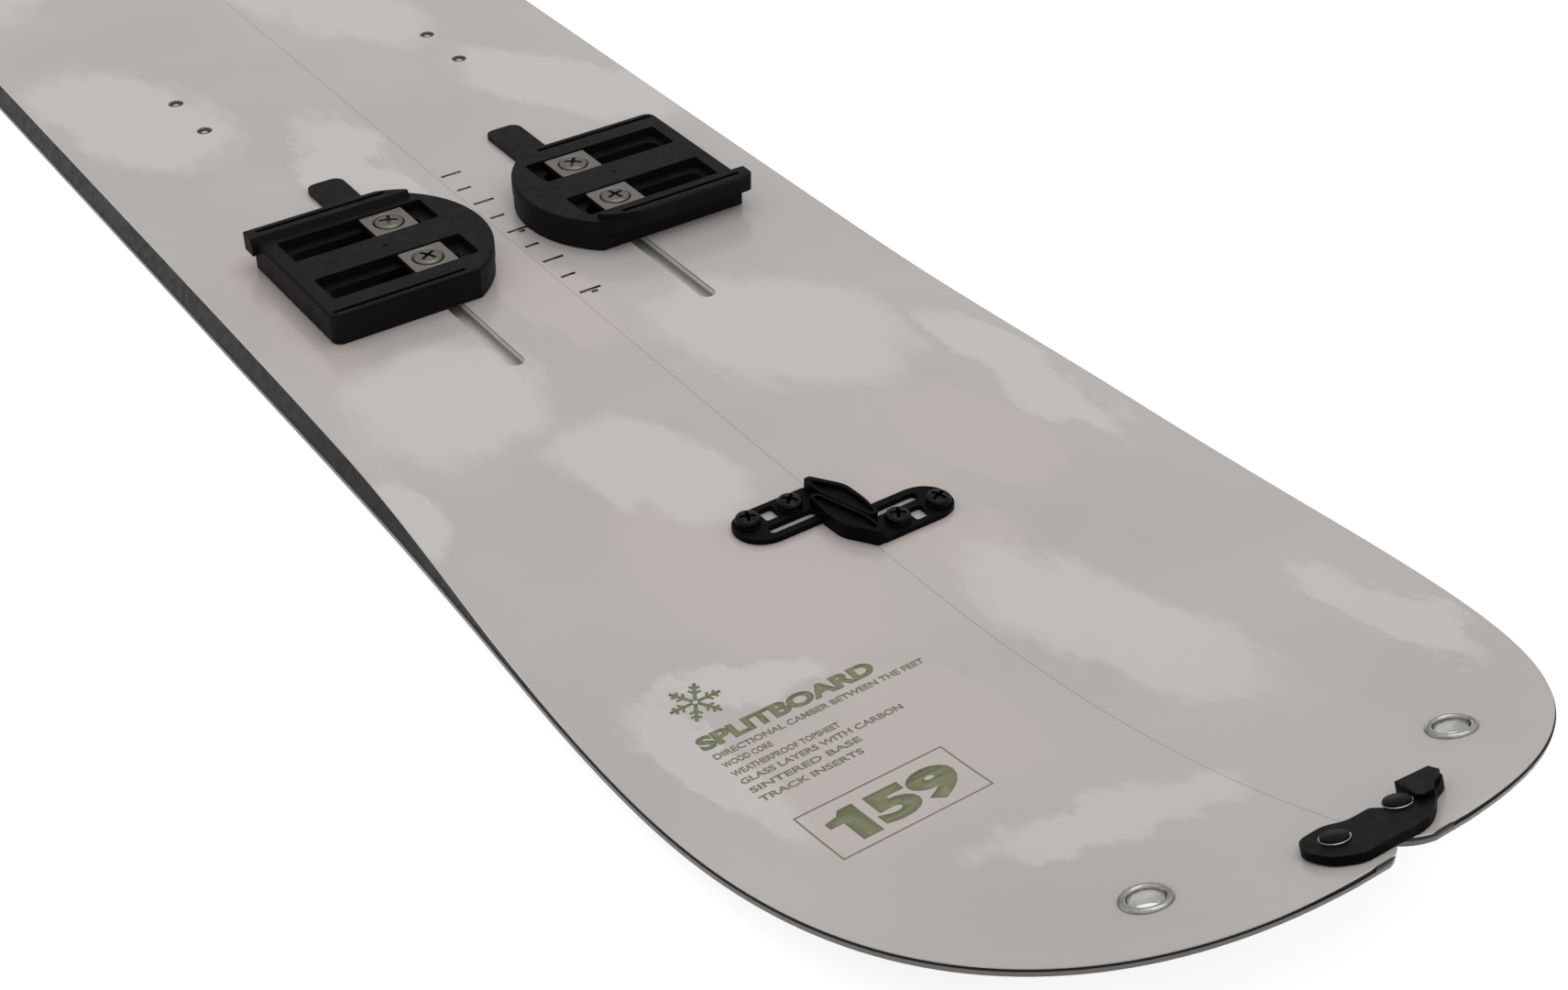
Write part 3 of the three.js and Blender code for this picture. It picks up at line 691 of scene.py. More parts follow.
def rim_distance(x, y, rim):
    """Distance from a point to the outer rim, given as a list of points."""
    best = 1e9
    for (x0, y0), (x1, y1) in zip(rim, rim[1:]):
        if min(abs(x0 - x), abs(x1 - x)) > 60:
            continue
        dx, dy = x1 - x0, y1 - y0
        along = max(dx * dx + dy * dy, 1e-12)
        t = min(max(((x - x0) * dx + (y - y0) * dy) / along, 0.0), 1.0)
        best = min(best, math.hypot(x - x0 - t * dx, y - y0 - t * dy))
    return best


COLUMNS = (0, 0.02, 0.1, 0.25, 0.42, 0.6, 0.75, 0.86, 0.915, 0.94, 0.955, 0.97, 0.982, 0.992, 1)
SHOULDER_WIDTH = 8.5


def shoulder(x, y, rim):
    drop = edge_drop(x, y)
    if drop == 0:
        return 0.0
    return drop * (1 - smooth_step(rim_distance(x, y, rim), 0, SHOULDER_WIDTH))


def sheet(name, inset, seam_inset, top, bottom, columns, with_shoulder):
    """A sheet across one half, as rows of points at each station, top and bottom."""
    outer = offset_outline("outer", inset)
    seam = offset_outline("seam", constant(seam_inset))
    reach = HALF_LENGTH - inset(HALF_LENGTH)
    rim = outer + [(reach, TIP_CLOSING_Y - 9)]
    rim = [(-reach, TIP_CLOSING_Y - 9)] + rim
    rows = [x * reach / HALF_LENGTH for x in STATIONS]
    upper, lower = [], []
    for x in rows:
        y0, y1 = interpolate(seam, x), interpolate(outer, x)
        for f in columns:
            y = y0 + (y1 - y0) * f
            dip = shoulder(x, y, rim) if with_shoulder else 0.0
            upper.append((x, y, top(x) - dip))
            lower.append((x, y, bottom(x) - dip))
    count, total = len(columns), len(upper)
    faces = []
    for r in range(len(rows) - 1):
        for c in range(count - 1):
            a = r * count + c
            faces.append((a, a + 1, a + count + 1, a + count))
            faces.append((total + a, total + a + count, total + a + count + 1, total + a + 1))
        for c in (0, count - 1):
            a = r * count + c
            faces.append((a, a + count, total + a + count, total + a))
    for start in (0, total - count):
        for c in range(count - 1):
            a = start + c
            faces.append((a, a + 1, total + a + 1, total + a))
    return make_object(name, upper + lower, faces)


def drill(x, y, radius, depth=20):
    return seated(prism(circle(0, 0, radius), -depth, depth), x, y)


def half_drills(side, eyelet_radius, pins):
    pin_y = CLIP_POST_Y if side > 0 else -CLIP_PIVOT_Y
    holes = []
    for end in (1, -1):
        holes.append(drill(end * EYELET_X, EYELET_Y, eyelet_radius))
        if pins:
            holes.append(drill(end * CLIP_X, pin_y, PIN_HOLE_RADIUS))
    return holes


def topsheet(side):
    piece = sheet("topsheet", bevel_inset, 0.0, top_height, lambda x: top_height(x) - TOPSHEET, COLUMNS, True)
    holes = half_drills(side, EYELET_HOLE_RADIUS, True)
    for end in (1, -1):
        holes.append(prism(stadium(end * TRACK_X, TRACK_Y, SLOT_LENGTH, SLOT_WIDTH), 0, 20))
        for x in INSERT_XS:
            holes.append(prism(circle(end * x, INSERT_Y, INSERT_RADIUS), 0, 20))
    return cut(piece, merge_loose(holes))


def base_sheet(side):
    inset = constant(EDGE_WIDTH + 0.05)
    piece = sheet("base", inset, EDGE_WIDTH + 0.05, lambda x: base_height(x) + BASE_SHEET, base_height,
                  (0, 0.5, 1), False)
    return cut(piece, merge_loose(half_drills(side, 7.7, False)))


def build_half(name, side):
    body = f"{name}_half"
    flip = mirrored(1, side)

    def place(piece, part, paint, slot, crease=32):
        new = copy_of(piece, flip, f"{name}_{part}_fine")
        bpy.data.objects.remove(piece)
        return finish(new, body, paint, slot, [f"{name}_{part}"], crease=crease)

    place(topsheet(side), "topsheet", topsheet_gloss, "topsheet", 50)
    place(base_sheet(side), "base_sheet", base_black, "base")
    place(sidewall("wall", "outer"), "outer_sidewall", sidewall_black, "sidewall", 40)
    place(sidewall("wall", "seam"), "seam_sidewall", sidewall_black, "sidewall", 40)
    place(steel_edge("edge", "outer"), "outer_steel_edge", edge_steel, "edge_steel", 50)
    place(steel_edge("edge", "seam"), "seam_steel_edge", edge_steel, "edge_steel", 50)
    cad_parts[f"{name}_core"].data.materials.clear()
    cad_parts[f"{name}_core"].data.materials.append(core_wood)


# ---------- printing ----------

INK_LIFT = 0.09
INK_THICKNESS = 0.08


def lay_on_board(mesh, spacing=3.0):
    """Cuts a flat mesh, already in board coordinates, into bands and drapes it over the top surface."""
    work = bmesh.new()
    work.from_mesh(mesh)
    xs = [v.co.x / MM for v in work.verts]
    x = math.ceil(min(xs) / spacing) * spacing
    while x < max(xs):
        geometry = work.verts[:] + work.edges[:] + work.faces[:]
        bmesh.ops.bisect_plane(work, geom=geometry, plane_co=(x * MM, 0, 0), plane_no=(1, 0, 0))
        x += spacing
    for vertex in work.verts:
        vertex.co.z = (top_height(vertex.co.x / MM) + INK_LIFT) * MM
    bmesh.ops.recalc_face_normals(work, faces=work.faces)
    for face in work.faces:
        if face.normal.z < 0:
            face.normal_flip()
    work.to_mesh(mesh)
    work.free()


def ink(piece, body, paint, name):
    piece.name = name
    lay_on_board(piece.data)
    mesh = piece.data
    mesh.materials.clear()
    mesh.materials.append(paint)
    mesh.shade_smooth()
    layer = piece.modifiers.new("ink", "SOLIDIFY")
    layer.thickness = INK_THICKNESS * MM
    layer.offset = -1
    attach(piece, body)
    return piece


def lettering(words, baseline_x, y0, y1, cap_height, boldness):
    """Flat letters reading along +Y with their tops towards the board's middle."""
    curve = bpy.data.curves.new("words", "FONT")
    curve.body = words
    curve.offset = boldness
    curve.resolution_u = 4
    source = bpy.data.objects.new("words", curve)
    bpy.context.scene.collection.objects.link(source)
    bpy.context.view_layer.update()
    mesh = bpy.data.meshes.new_from_object(source.evaluated_get(bpy.context.evaluated_depsgraph_get()))
    bpy.data.objects.remove(source)
    xs = [v.co.x for v in mesh.vertices]
    ys = [v.co.y for v in mesh.vertices]
    wide, tall = max(xs) - min(xs), max(ys) - min(ys)
    for vertex in mesh.vertices:
        along = (vertex.co.x - min(xs)) / wide
        up = (vertex.co.y - min(ys)) / tall
        vertex.co = ((baseline_x - up * cap_height) * MM, (y0 + along * (y1 - y0)) * MM, 0)
    piece = bpy.data.objects.new("words", mesh)
    bpy.context.scene.collection.objects.link(piece)
    return piece


def bar(x0, y0, x1, y1, width):
    """A flat straight stroke from one point to another."""
    start, end = Vector((x0, y0, 0)), Vector((x1, y1, 0))
    side = (end - start).normalized().cross(Vector((0, 0, 1))) * width / 2
    corners = [start - side, end - side, end + side, start + side]
    return make_object("stroke", [tuple(c) for c in corners], [(0, 1, 2, 3)])


def frame_lines(x0, y0, x1, y1, width):
    """A hollow rectangle as one ring of faces."""
    outer = [(x0, y0), (x1, y0), (x1, y1), (x0, y1)]
    inner = [
        (x0 + width, y0 + width), (x1 - width, y0 + width),
        (x1 - width, y1 - width), (x0 + width, y1 - width),
    ]
    points = [(x, y, 0) for x, y in outer + inner]
    faces = [(i, (i + 1) % 4, (i + 1) % 4 + 4, i + 4) for i in range(4)]
    return make_object("frame", points, faces)


def snowflake(cx, cy, radius):
    strokes = []
    for k in range(6):
        angle = math.radians(60 * k + 30)
        tip = (cx + radius * math.cos(angle), cy + radius * math.sin(angle))
        start = (cx + radius * 0.1 * math.cos(angle), cy + radius * 0.1 * math.sin(angle))
        strokes.append(bar(*start, *tip, radius * 0.13))
        for share, length in ((0.45, 0.26), (0.7, 0.22)):
            root = (cx + radius * share * math.cos(angle), cy + radius * share * math.sin(angle))
            for turn in (-55, 55):
                branch = angle + math.radians(turn)
                reach = radius * length
                end = (root[0] + reach * math.cos(branch), root[1] + reach * math.sin(branch))
                strokes.append(bar(*root, *end, radius * 0.1))
    return strokes


def numeral_one(baseline_x, y0, y1, height):
    """A heavy numeral one with a flag, standing like the lettering."""
    across = y1 - y0
    corners = [(0.4, 0), (1, 0), (1, 1), (0.55, 1), (0.4, 0.86), (0.4, 0.62), (0, 0.62), (0, 0.8)]
    points = [(baseline_x - up * height, y0 + share * across, 0) for share, up in corners]
    return make_object("one", points, [(0, 1, 2, 3, 4, 5), (4, 7, 6, 5)])


SMALL_LINES = (
    ("DIRECTIONAL CAMBER BETWEEN THE FEET", 618.2, -26), ("WOOD CORE", 623.2, -89),
    ("WEATHERPROOF TOPSHEET", 628.4, -67), ("GLASS LAYERS WITH CARBON", 633.2, -46),
    ("SINTERED BASE", 638.3, -66), ("TRACK INSERTS", 643.6, -69),
)


def build_printing():
    body = "right_half"
    flake = snowflake(590.5, -97, 9.5)
    for i, stroke in enumerate(flake):
        ink(stroke, body, print_green, f"print_flake_{i}")
    ink(lettering("SPLITBOARD", 612.8, -108, -41, 7.0, 0.05), body, print_green, "print_title")
    for i, (words, x, end) in enumerate(SMALL_LINES):
        ink(lettering(words, x, -107.2, end, 2.7, 0.016), body, print_green, f"print_line_{i}")
    ink(frame_lines(656, -105, 681.6, -49.4, 0.5), body, print_green, "print_size_frame")
    ink(numeral_one(677.6, -99.4, -87.4, 16.4), body, print_green, "print_size_one")
    ink(lettering("59", 677.6, -85.2, -53.6, 16.4, 0.055), body, print_green, "print_size")


TICK_PITCH = 15
TICK_COUNT = 9


def build_ticks():
    for end_name, end in ENDS:
        for i in range(TICK_COUNT):
            x = end * (FOOT_X - 61.5 + TICK_PITCH * i)
            tick_end = TICK_LONG_END if i % 2 == 0 else TICK_SHORT_END
            tick = bar(x, TICK_START, x, tick_end + TICK_OVERRUN, TICK_WIDTH)
            ink(tick, "left_half", print_black, f"{end_name}_tick_{i}")
            if i in (4, 8):
                mark = bar(x + 2.2, 6.4, x + 2.2, 9.2, 1.5)
                ink(mark, "left_half", print_black, f"{end_name}_tick_mark_{i}")


# ---------- binding interface ----------

def track():
    body = prism(stadium(0, 0, TRACK_LENGTH, TRACK_WIDTH), TRACK_BOTTOM, TRACK_TOP)
    throat = prism(stadium(0, 0, SLOT_LENGTH, THROAT_WIDTH), CHANNEL_TOP - 1, TRACK_TOP + 1)
    channel = prism(stadium(0, 0, TRACK_LENGTH - 3, CHANNEL_WIDTH), TRACK_BOTTOM + 1.2, CHANNEL_TOP)
    return cut(body, throat, channel)


PUCK_HALF = 39.5
PUCK_INNER_Y = 10.8
PUCK_SHOULDER_Y = 32.5
PUCK_OUTER_Y = 98.0
PUCK_DECK = 13.6
PUCK_WAIST = 7.5        # height of the fine line round the puck's wall
RAIL_TOP = 16.4
RAIL_INNER_Y = 28.0
RAIL_SHOULDER_Y = 51.1
RAIL_REACH = 2.6
RAIL_OVERHANG = 0.8
RAIL_FOOT = 8.9
RAIL_WIDTH = 9.3
RAIL_SLOPE = 1.6
RAIL_ROUND = 2.0         # along the rail's outer top edge
PUCK_ROUND = 1.5         # along the deck's edge
PUCK_UNDERCUT = 4.1      # how far the wall under the rail is set in
GROOVE_X = 35.8
GROOVE_INNER_Y = 37.0
GROOVE_OUTER_Y = 96.0
RAIL_GROOVE_WIDTH = 2.0
RAIL_GROOVE_DEPTH = 2.0
RECESS_X = 17.6
RECESS_FLOOR = 9.2
RECESS_LOW_Y = 25.6
RECESS_HIGH_Y = 91.2
RECESS_HALF_WIDTH = 9.1
# top of the black block under each washer, which is both a slider and painted shade for the washer's shaded
# side
SLIDER_AND_SHADE_TOP = 11.8
WASHER_TOP = 13.2


def puck_outline(half, outer_y, grow=0.0, corner=4.0, shoulder_y=PUCK_SHOULDER_Y):
    inner_y = PUCK_INNER_Y - grow
    rise = shoulder_y - inner_y
    radius = (half ** 2 + rise ** 2) / (2 * rise)
    sweep = math.degrees(math.asin(half / radius))
    nose = arc(0, inner_y + radius, radius, -90 - sweep, -90 + sweep, 48)
    return (nose + arc(half - corner, outer_y - corner, corner, 0, 90, 8)
            + arc(-half + corner, outer_y - corner, corner, 90, 180, 8))


def rail(side):
    """The rail: its section in X and Z, rounded along the outside, run along Y and trimmed by the outline."""
    inner = PUCK_HALF - RAIL_WIDTH
    outer = PUCK_HALF + RAIL_OVERHANG
    round_edge = arc(outer - RAIL_ROUND, RAIL_TOP - RAIL_ROUND, RAIL_ROUND, 90, 0, 8)
    section = [(inner, RAIL_FOOT), (inner, PUCK_DECK - 0.2), (inner + RAIL_SLOPE, RAIL_TOP)] + round_edge
    section.append((outer, RAIL_FOOT))
    count = len(section)
    points = []
    for y in (RAIL_INNER_Y, PUCK_OUTER_Y + RAIL_REACH):
        points += [(side * x, y, z) for x, z in section]
    faces = [tuple(range(count)), tuple(range(2 * count - 1, count - 1, -1))]
    for i in range(count):
        j = (i + 1) % count
        faces.append((i, j, j + count, i + count))
    body = make_object("rail", points, faces)
    trim = puck_outline(outer, PUCK_OUTER_Y + RAIL_REACH, corner=3.0, shoulder_y=RAIL_SHOULDER_Y)
    return combine(body, [prism(trim, 0, RAIL_TOP + 1)], "INTERSECT")


def puck_groove(x, top):
    length = GROOVE_OUTER_Y - GROOVE_INNER_Y
    outline = upright_stadium(x, (GROOVE_OUTER_Y + GROOVE_INNER_Y) / 2, length, RAIL_GROOVE_WIDTH)
    return prism(outline, top - RAIL_GROOVE_DEPTH, top + 1)


def puck(side):
    """A puck with its rail on the long side towards side * X."""
    body = prism(puck_outline(PUCK_HALF, PUCK_OUTER_Y), PUCK_WAIST, PUCK_DECK - PUCK_ROUND)
    foot = prism(puck_outline(PUCK_HALF - 0.35, PUCK_OUTER_Y - 0.35, -0.35), 0.4, PUCK_WAIST + 0.2)
    layers = [foot]
    for low, high in ((0, 30), (30, 60), (60, 90)):
        inset = PUCK_ROUND * (1 - math.cos(math.radians(low + 12)))
        z0 = PUCK_DECK - PUCK_ROUND * (1 - math.sin(math.radians(low))) - 0.1
        z1 = PUCK_DECK - PUCK_ROUND * (1 - math.sin(math.radians(high)))
        layers.append(prism(puck_outline(PUCK_HALF - inset, PUCK_OUTER_Y - inset, -inset), z0, z1))
    body = join(body, *layers)
    near, far = sorted((side * (PUCK_HALF - PUCK_UNDERCUT), side * (PUCK_HALF + 5)))
    cut(body, block(near, 0, -1, far, PUCK_OUTER_Y + 5, RAIL_FOOT))
    body = join(body, rail(side))
    cut(body, puck_groove(side * GROOVE_X, RAIL_TOP))
    cut(body, puck_groove(-side * GROOVE_X, PUCK_DECK))
    cutters = []
    for x in (RECESS_X, -RECESS_X):
        low_x = x - RECESS_HALF_WIDTH
        high_x = x + RECESS_HALF_WIDTH
        pocket = rounded_box(low_x, RECESS_LOW_Y, high_x, RECESS_HIGH_Y, 1.2, 3)
        cutters.append(prism(pocket, RECESS_FLOOR, RAIL_TOP))
        middle = (RECESS_LOW_Y + RECESS_HIGH_Y) / 2
        slot = upright_stadium(x, middle + 1, RECESS_HIGH_Y - RECESS_LOW_Y - 8, 9.4)
        cutters.append(prism(slot, -1, RECESS_FLOOR + 1))
    dimple = turned([
        (0, PUCK_DECK - 0.5), (0.9, PUCK_DECK - 0.4), (1.1, PUCK_DECK + 1), (0, PUCK_DECK + 1),
    ], 20)
    dimple.data.transform(at(0, 55, 0))
    plate = prism(rounded_box(-30.4, 24.3, 30.4, 65.0, 3), -1, PLATE_RECESS_TOP)
    low_y = TRACK_Y - TAB_RECESS_HALF_WIDTH
    high_y = TRACK_Y + TAB_RECESS_HALF_WIDTH
    tab = prism(rounded_box(-TAB_RECESS_REACH, low_y, -TAB_ROOT, high_y, 4), -1, PLATE_RECESS_TOP)
    for cutter in cutters + [dimple, plate, tab]:
        cut(body, cutter)
    return body


def puck_plate():
    plate = prism(rounded_box(-30, TRACK_Y - 20, 30, TRACK_Y + 20, 3), PLATE_BOTTOM, PLATE_TOP)
    low_y = TRACK_Y - TAB_HALF_WIDTH
    high_y = TRACK_Y + TAB_HALF_WIDTH
    tab = prism(rounded_box(-TAB_REACH, low_y, -TAB_ROOT, high_y, 4.6), PLATE_BOTTOM, PLATE_TOP)
    slot = prism(stadium(0, TRACK_Y, 45.2, PLATE_SLOT_WIDTH), -1, 4)
    return cut(join(plate, tab), slot)


def washer():
    """The steel plate on top of a slider, countersunk for its screw."""
    outline = rounded_box(-WASHER_HALF_X, -WASHER_HALF_Y, WASHER_HALF_X, WASHER_HALF_Y, 0.7, 3)
    plate = prism(outline, SLIDER_AND_SHADE_TOP, WASHER_TOP)
    below = SLIDER_AND_SHADE_TOP - 1
    above = WASHER_TOP + 0.1
    countersink = [(0, below), (WASHER_HOLE_RADIUS, below), (COUNTERSINK_RADIUS, above), (0, above)]
    return cut(plate, turned(countersink))


def slider_and_shade():
    """The black block under a washer: a plastic slider that carries the washer along its recess, and also a
    painted shade standing for the shadow on the washer's side.
    """
    body = prism(rounded_box(-8.3, -9.6, 8.3, 9.6, 0.9, 3), RECESS_FLOOR + 0.3, SLIDER_AND_SHADE_TOP - 0.02)
    return cut(body, prism(circle(0, 0, 3.2), 0, 20))


def phillips_screw(head_radius, head_height, shank_radius, seat_height, shank_length, arm, arm_width):
    top = seat_height + head_height
    profile = [
        (0, seat_height - shank_length), (shank_radius * 0.8, seat_height - shank_length),
        (shank_radius, seat_height - shank_length + 0.6), (shank_radius, seat_height),
        (head_radius, seat_height),
    ]
    for k in range(7):
        angle = math.radians(90 * k / 6)
        radius = head_radius * (0.62 + 0.38 * math.cos(angle))
        height = seat_height + head_height * (0.35 + 0.5 * math.sin(angle))
        profile.append((radius, height))
    profile += [(head_radius * 0.35, seat_height + head_height * 0.95), (0, top)]
    body = turned(profile, 40)
    deep = seat_height + head_height * 0.05
    first = block(-arm, -arm_width / 2, deep, arm, arm_width / 2, top + 1)
    second = block(-arm_width / 2, -arm, deep, arm_width / 2, arm, top + 1)
    centre = prism(circle(0, 0, arm_width * 0.95, 16), deep - 0.2, top + 1)
    return cut(cut(cut(body, first), second), centre)


def scattered_angle(index):
    """A repeatable turn for each screw's recess."""
    return math.radians(15 + (index * 37) % 60)


def build_feet():
    parts = {"left": puck(1), "right": puck(-1), "puck_plate": puck_plate(), "track": track()}
    washer_part = washer()
    slider_and_shade_part = slider_and_shade()
    screw_part = phillips_screw(
        head_radius=6.1, head_height=1.9, shank_radius=2.9, seat_height=12.3, shank_length=17.6,
        arm=3.9, arm_width=1.4,
    )
    index = 0
    for end_name, end in ENDS:
        for side_name, side in SIDES:
            prefix = f"{end_name}_{side_name}"
            set_body = f"{prefix}_puck_set"
            foot = at(end * FOOT_X, 0, DECK_HEIGHT)
            flip = mirrored(end, side)
            place = copy_of(parts[side_name], foot @ flip, f"{prefix}_puck_fine")
            finish(place, set_body, puck_plastic, "puck", [f"{prefix}_puck"], bevel=0.5, steps=3)
            place = copy_of(parts["puck_plate"], foot @ flip, f"{prefix}_puck_plate_fine")
            finish(place, set_body, puck_plastic, "puck", [f"{prefix}_puck_plate"], bevel=0.3)
            track_place = at(end * TRACK_X, side * TRACK_Y, 0) @ flip
            place = copy_of(parts["track"], track_place, f"{prefix}_track_fine")
            finish(place, f"{side_name}_half", track_metal, "track", [f"{prefix}_track"], bevel=0.15)
            for place_name, x in (("fore", RECESS_X), ("aft", -RECESS_X)):
                spot = at(end * FOOT_X + x, side * TRACK_Y, DECK_HEIGHT)
                piece = copy_of(washer_part, spot, f"{prefix}_{place_name}_washer_fine")
                cad_washer = [f"{prefix}_{place_name}_washer"]
                finish(piece, set_body, washer_steel, "hardware", cad_washer, bevel=0.25)
                # the black block under each washer: a plastic slider, and also painted shade for the shadow
                # on the washer's side
                piece = copy_of(slider_and_shade_part, spot, f"{prefix}_{place_name}_slider")
                finish(piece, set_body, puck_plastic, "puck", bevel=0.3)
                turn = Matrix.Rotation(scattered_angle(index), 4, "Z")
                index += 1
                piece = copy_of(screw_part, spot @ turn, f"{prefix}_{place_name}_screw_fine")
                cad_screw = [f"{prefix}_{place_name}_screw"]
                finish(piece, set_body, screw_steel, "hardware", cad_screw, bevel=0.1)
            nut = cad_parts[f"{prefix}_sliding_nut"]
            nut.data.materials.clear()
            nut.data.materials.append(nut_steel)
    for part in list(parts.values()) + [washer_part, slider_and_shade_part, screw_part]:
        bpy.data.objects.remove(part)


def insert():
    """The top of one threaded insert, as seen in its hole: a ring round a bored socket."""
    return turned([
        (1.5, 6.0), (3.3, 6.0), (3.3, 9.9), (3.0, 10.2), (2.0, 10.2), (1.5, 9.6),
    ], 32)


def build_inserts():
    part = insert()
    for end_name, end in ENDS:
        for side_name, side in SIDES:
            for i, x in enumerate(INSERT_XS):
                piece = copy_of(part, at(end * x, side * INSERT_Y, 0), f"{end_name}_{side_name}_insert_{i}")
                finish(piece, f"{side_name}_half", insert_dark, "hardware", bevel=0.1)
    bpy.data.objects.remove(part)


# ---------- seam and tip hardware ----------

def hook():
    """The right half's hook, measured from the middle of the pair, on the plane Z = 0."""
    plate = prism(rounded_polygon([
        (-20.6, -2.8), (-20.6, -30.5), (-18.2, -36.2), (-12.6, -38),
        (-7.2, -36.8), (-3, -32.6), (-1.4, -27.5), (-1.4, -4.2),
    ], [1, 5, 3, 5, 3, 5, 5, 1]), 0.25, 2.4)
    finger = prism(rounded_polygon([
        (-11.2, -7.2), (-10.3, -3.8), (0, -0.25), (10.2, 3.1),
        (20.4, 3.0), (20.4, 0.4), (9.2, -7.5), (-1.6, -8.2),
    ], [1.2, 0.8, 4, 4, 0.5, 0.5, 3, 3]), 0.25, 6.4)
    body = join(plate, finger)
    leaf = prism(rounded_polygon([
        (-9.6, -6.6), (-9.4, -4.6), (0.2, -1.4), (10.2, 2.0),
        (17.5, 2.0), (17.8, 1.0), (8.6, -5.8), (-1.6, -7.0),
    ], [0.7, 0.7, 4, 4, 0.4, 0.4, 3, 3]), 4.9, 8)
    window = prism(rounded_box(-18.3, -25.0, -11.4, -18.7, 1.0, 3), -1, 5)
    slot = prism(rounded_box(-8.4, -27.6, -4.3, -7.6, 1.4, 3), -1, 8)
    for cutter in (leaf, window, slot):
        cut(body, cutter)
    bosses = [turned([(3.0, 0.3), (4.8, 0.3), (4.8, 2.9), (4.4, 3.2), (3.0, 3.2)], 40) for _ in HOOK_SCREWS]
    for boss, (x, y) in zip(bosses, HOOK_SCREWS):
        boss.data.transform(at(x, y, 0))
    return join(body, *bosses)


def build_hooks():
    part = hook()
    screw = phillips_screw(4.6, 2.7, 2.2, 3.25, 6.1, 3.0, 1.25)
    index = 3
    for end_name, end in ENDS:
        for side_name, turn in (("right", 0.0), ("left", math.pi)):
            spin = Matrix.Rotation(turn, 4, "Z")
            spot = mirrored(end, 1) @ at(HOOK_X, 0, DECK_HEIGHT) @ spin
            name = f"{end_name}_{side_name}_hook"
            finish(copy_of(part, spot, f"{name}_fine"), f"{side_name}_half", hook_plastic, "hook", [name],
                   bevel=0.3, steps=2)
            for i, (x, y) in enumerate(HOOK_SCREWS):
                own = Matrix.Rotation(scattered_angle(index), 4, "Z")
                index += 1
                piece = copy_of(screw, spot @ at(x, y, 0) @ own, f"{name}_screw_{i}")
                finish(piece, f"{side_name}_half", screw_black, "pin", bevel=0.12)
    for piece in (part, screw):
        bpy.data.objects.remove(piece)


def clip():
    notch = arc(0, CLIP_POST_Y - CLIP_PIVOT_Y, 3.9, 76, -90, 14)
    corners = [
        (0.1, -9.9), (7.4, -8.8), (13.0, -2.9), (13.5, 2.3), (13.4, 8), (14.6, 15.5), (13.6, 22.6),
        (9.6, 28.9), (3.8, 35.3), (2.1, 40.2), (-0.8, 43.2), (-5.9, 43.2), (-7.3, 31.2), (-0.4, 29.4),
    ]
    heel = [(-4.5, 18), (-4.6, 9), (-8.4, 3.6), (-8.0, -5.6), (-4.6, -9)]
    radii = [5, 5, 5, 4, 5, 6, 6, 5, 2, 2, 0.6, 0.6, 0.6, 0.8] + [0] * len(notch) + [1, 3, 4, 4, 4]
    outline = rounded_polygon(corners + notch + heel, radii)
    body = prism(outline, CLIP_LIFT, CLIP_LIFT + CLIP_THICKNESS)
    nose = prism([
        (-7.3, 31.2), (0.2, 29.6), (3.6, 28.2), (5.4, 29.2), (5.6, 33.2),
        (2.6, 36.4), (0.6, 40.6), (-1.6, 43.2), (-5.9, 43.2),
    ], CLIP_LIFT, CLIP_LIFT + CLIP_NOSE_THICKNESS)
    join(body, nose)
    return cut(body, prism(circle(0, 0, PIN_HOLE_RADIUS), -2, 12))


def headed_pin():
    under = CLIP_LIFT + CLIP_THICKNESS + 0.3
    return turned([
        (0, -PIN_DEPTH), (3.0, -PIN_DEPTH), (3.0, under), (3.9, under),
        (4.1, under + 0.15), (4.05, under + 0.5), (3.75, under + 0.65), (0, under + 0.7),
    ], 48)


def pin_ring():
    """The bright rim that shows under a pin's head."""
    under = CLIP_LIFT + CLIP_THICKNESS + 0.05
    return turned([
        (3.1, under), (4.5, under), (4.55, under + 0.2), (4.35, under + 0.32), (3.1, under + 0.24),
    ], 48)


def eyelet():
    foot = -TIP_THICKNESS
    profile = [
        (5.4, foot - 0.1), (5.6, foot - 0.4), (7.1, foot - 0.4), (7.3, foot),
        (6.3, foot + 0.6), (6.3, 0.1), (7.9, 0.15),
    ]
    for k in range(9):
        angle = math.radians(180 * k / 8)
        profile.append((6.65 + 1.25 * math.cos(angle), 0.2 + 1.05 * math.sin(angle)))
    return turned(profile, 56)


def build_tips():
    clip_part, pin_part, ring_part, eyelet_part = clip(), headed_pin(), pin_ring(), eyelet()
    for end_name, end in ENDS:
        flip = mirrored(end, 1)
        pivot = flip @ seat(CLIP_X, CLIP_PIVOT_Y)
        post = flip @ seat(CLIP_X, CLIP_POST_Y)
        finish(copy_of(clip_part, pivot, f"{end_name}_clip_fine"), f"{end_name}_clip", hook_plastic, "hook",
               [f"{end_name}_clip"], bevel=0.4, steps=3)
        for spot, name, body in ((pivot, "clip_pivot", "right_half"), (post, "catch_post", "left_half")):
            finish(copy_of(pin_part, spot, f"{end_name}_{name}_fine"), body, pin_black, "pin",
                   [f"{end_name}_{name}"])
            finish(copy_of(ring_part, spot, f"{end_name}_{name}_ring"), body, eyelet_chrome, "eyelet")
        for side_name, side in SIDES:
            name = f"{end_name}_{side_name}_eyelet"
            spot = mirrored(end, side) @ seat(EYELET_X, EYELET_Y)
            finish(copy_of(eyelet_part, spot, f"{name}_fine"), f"{side_name}_half", eyelet_chrome, "eyelet",
                   [name], crease=60)
    for piece in (clip_part, pin_part, ring_part, eyelet_part):
        bpy.data.objects.remove(piece)


# ---------- studio ----------

CAMERA_AZIMUTH = 55.181
CAMERA_ELEVATION = 36.317
CAMERA_ROLL = -0.098
CAMERA_DISTANCE = 814.5
CAMERA_TARGET = (514.25, -9.39, DECK_HEIGHT)
CAMERA_LENS = 52.095


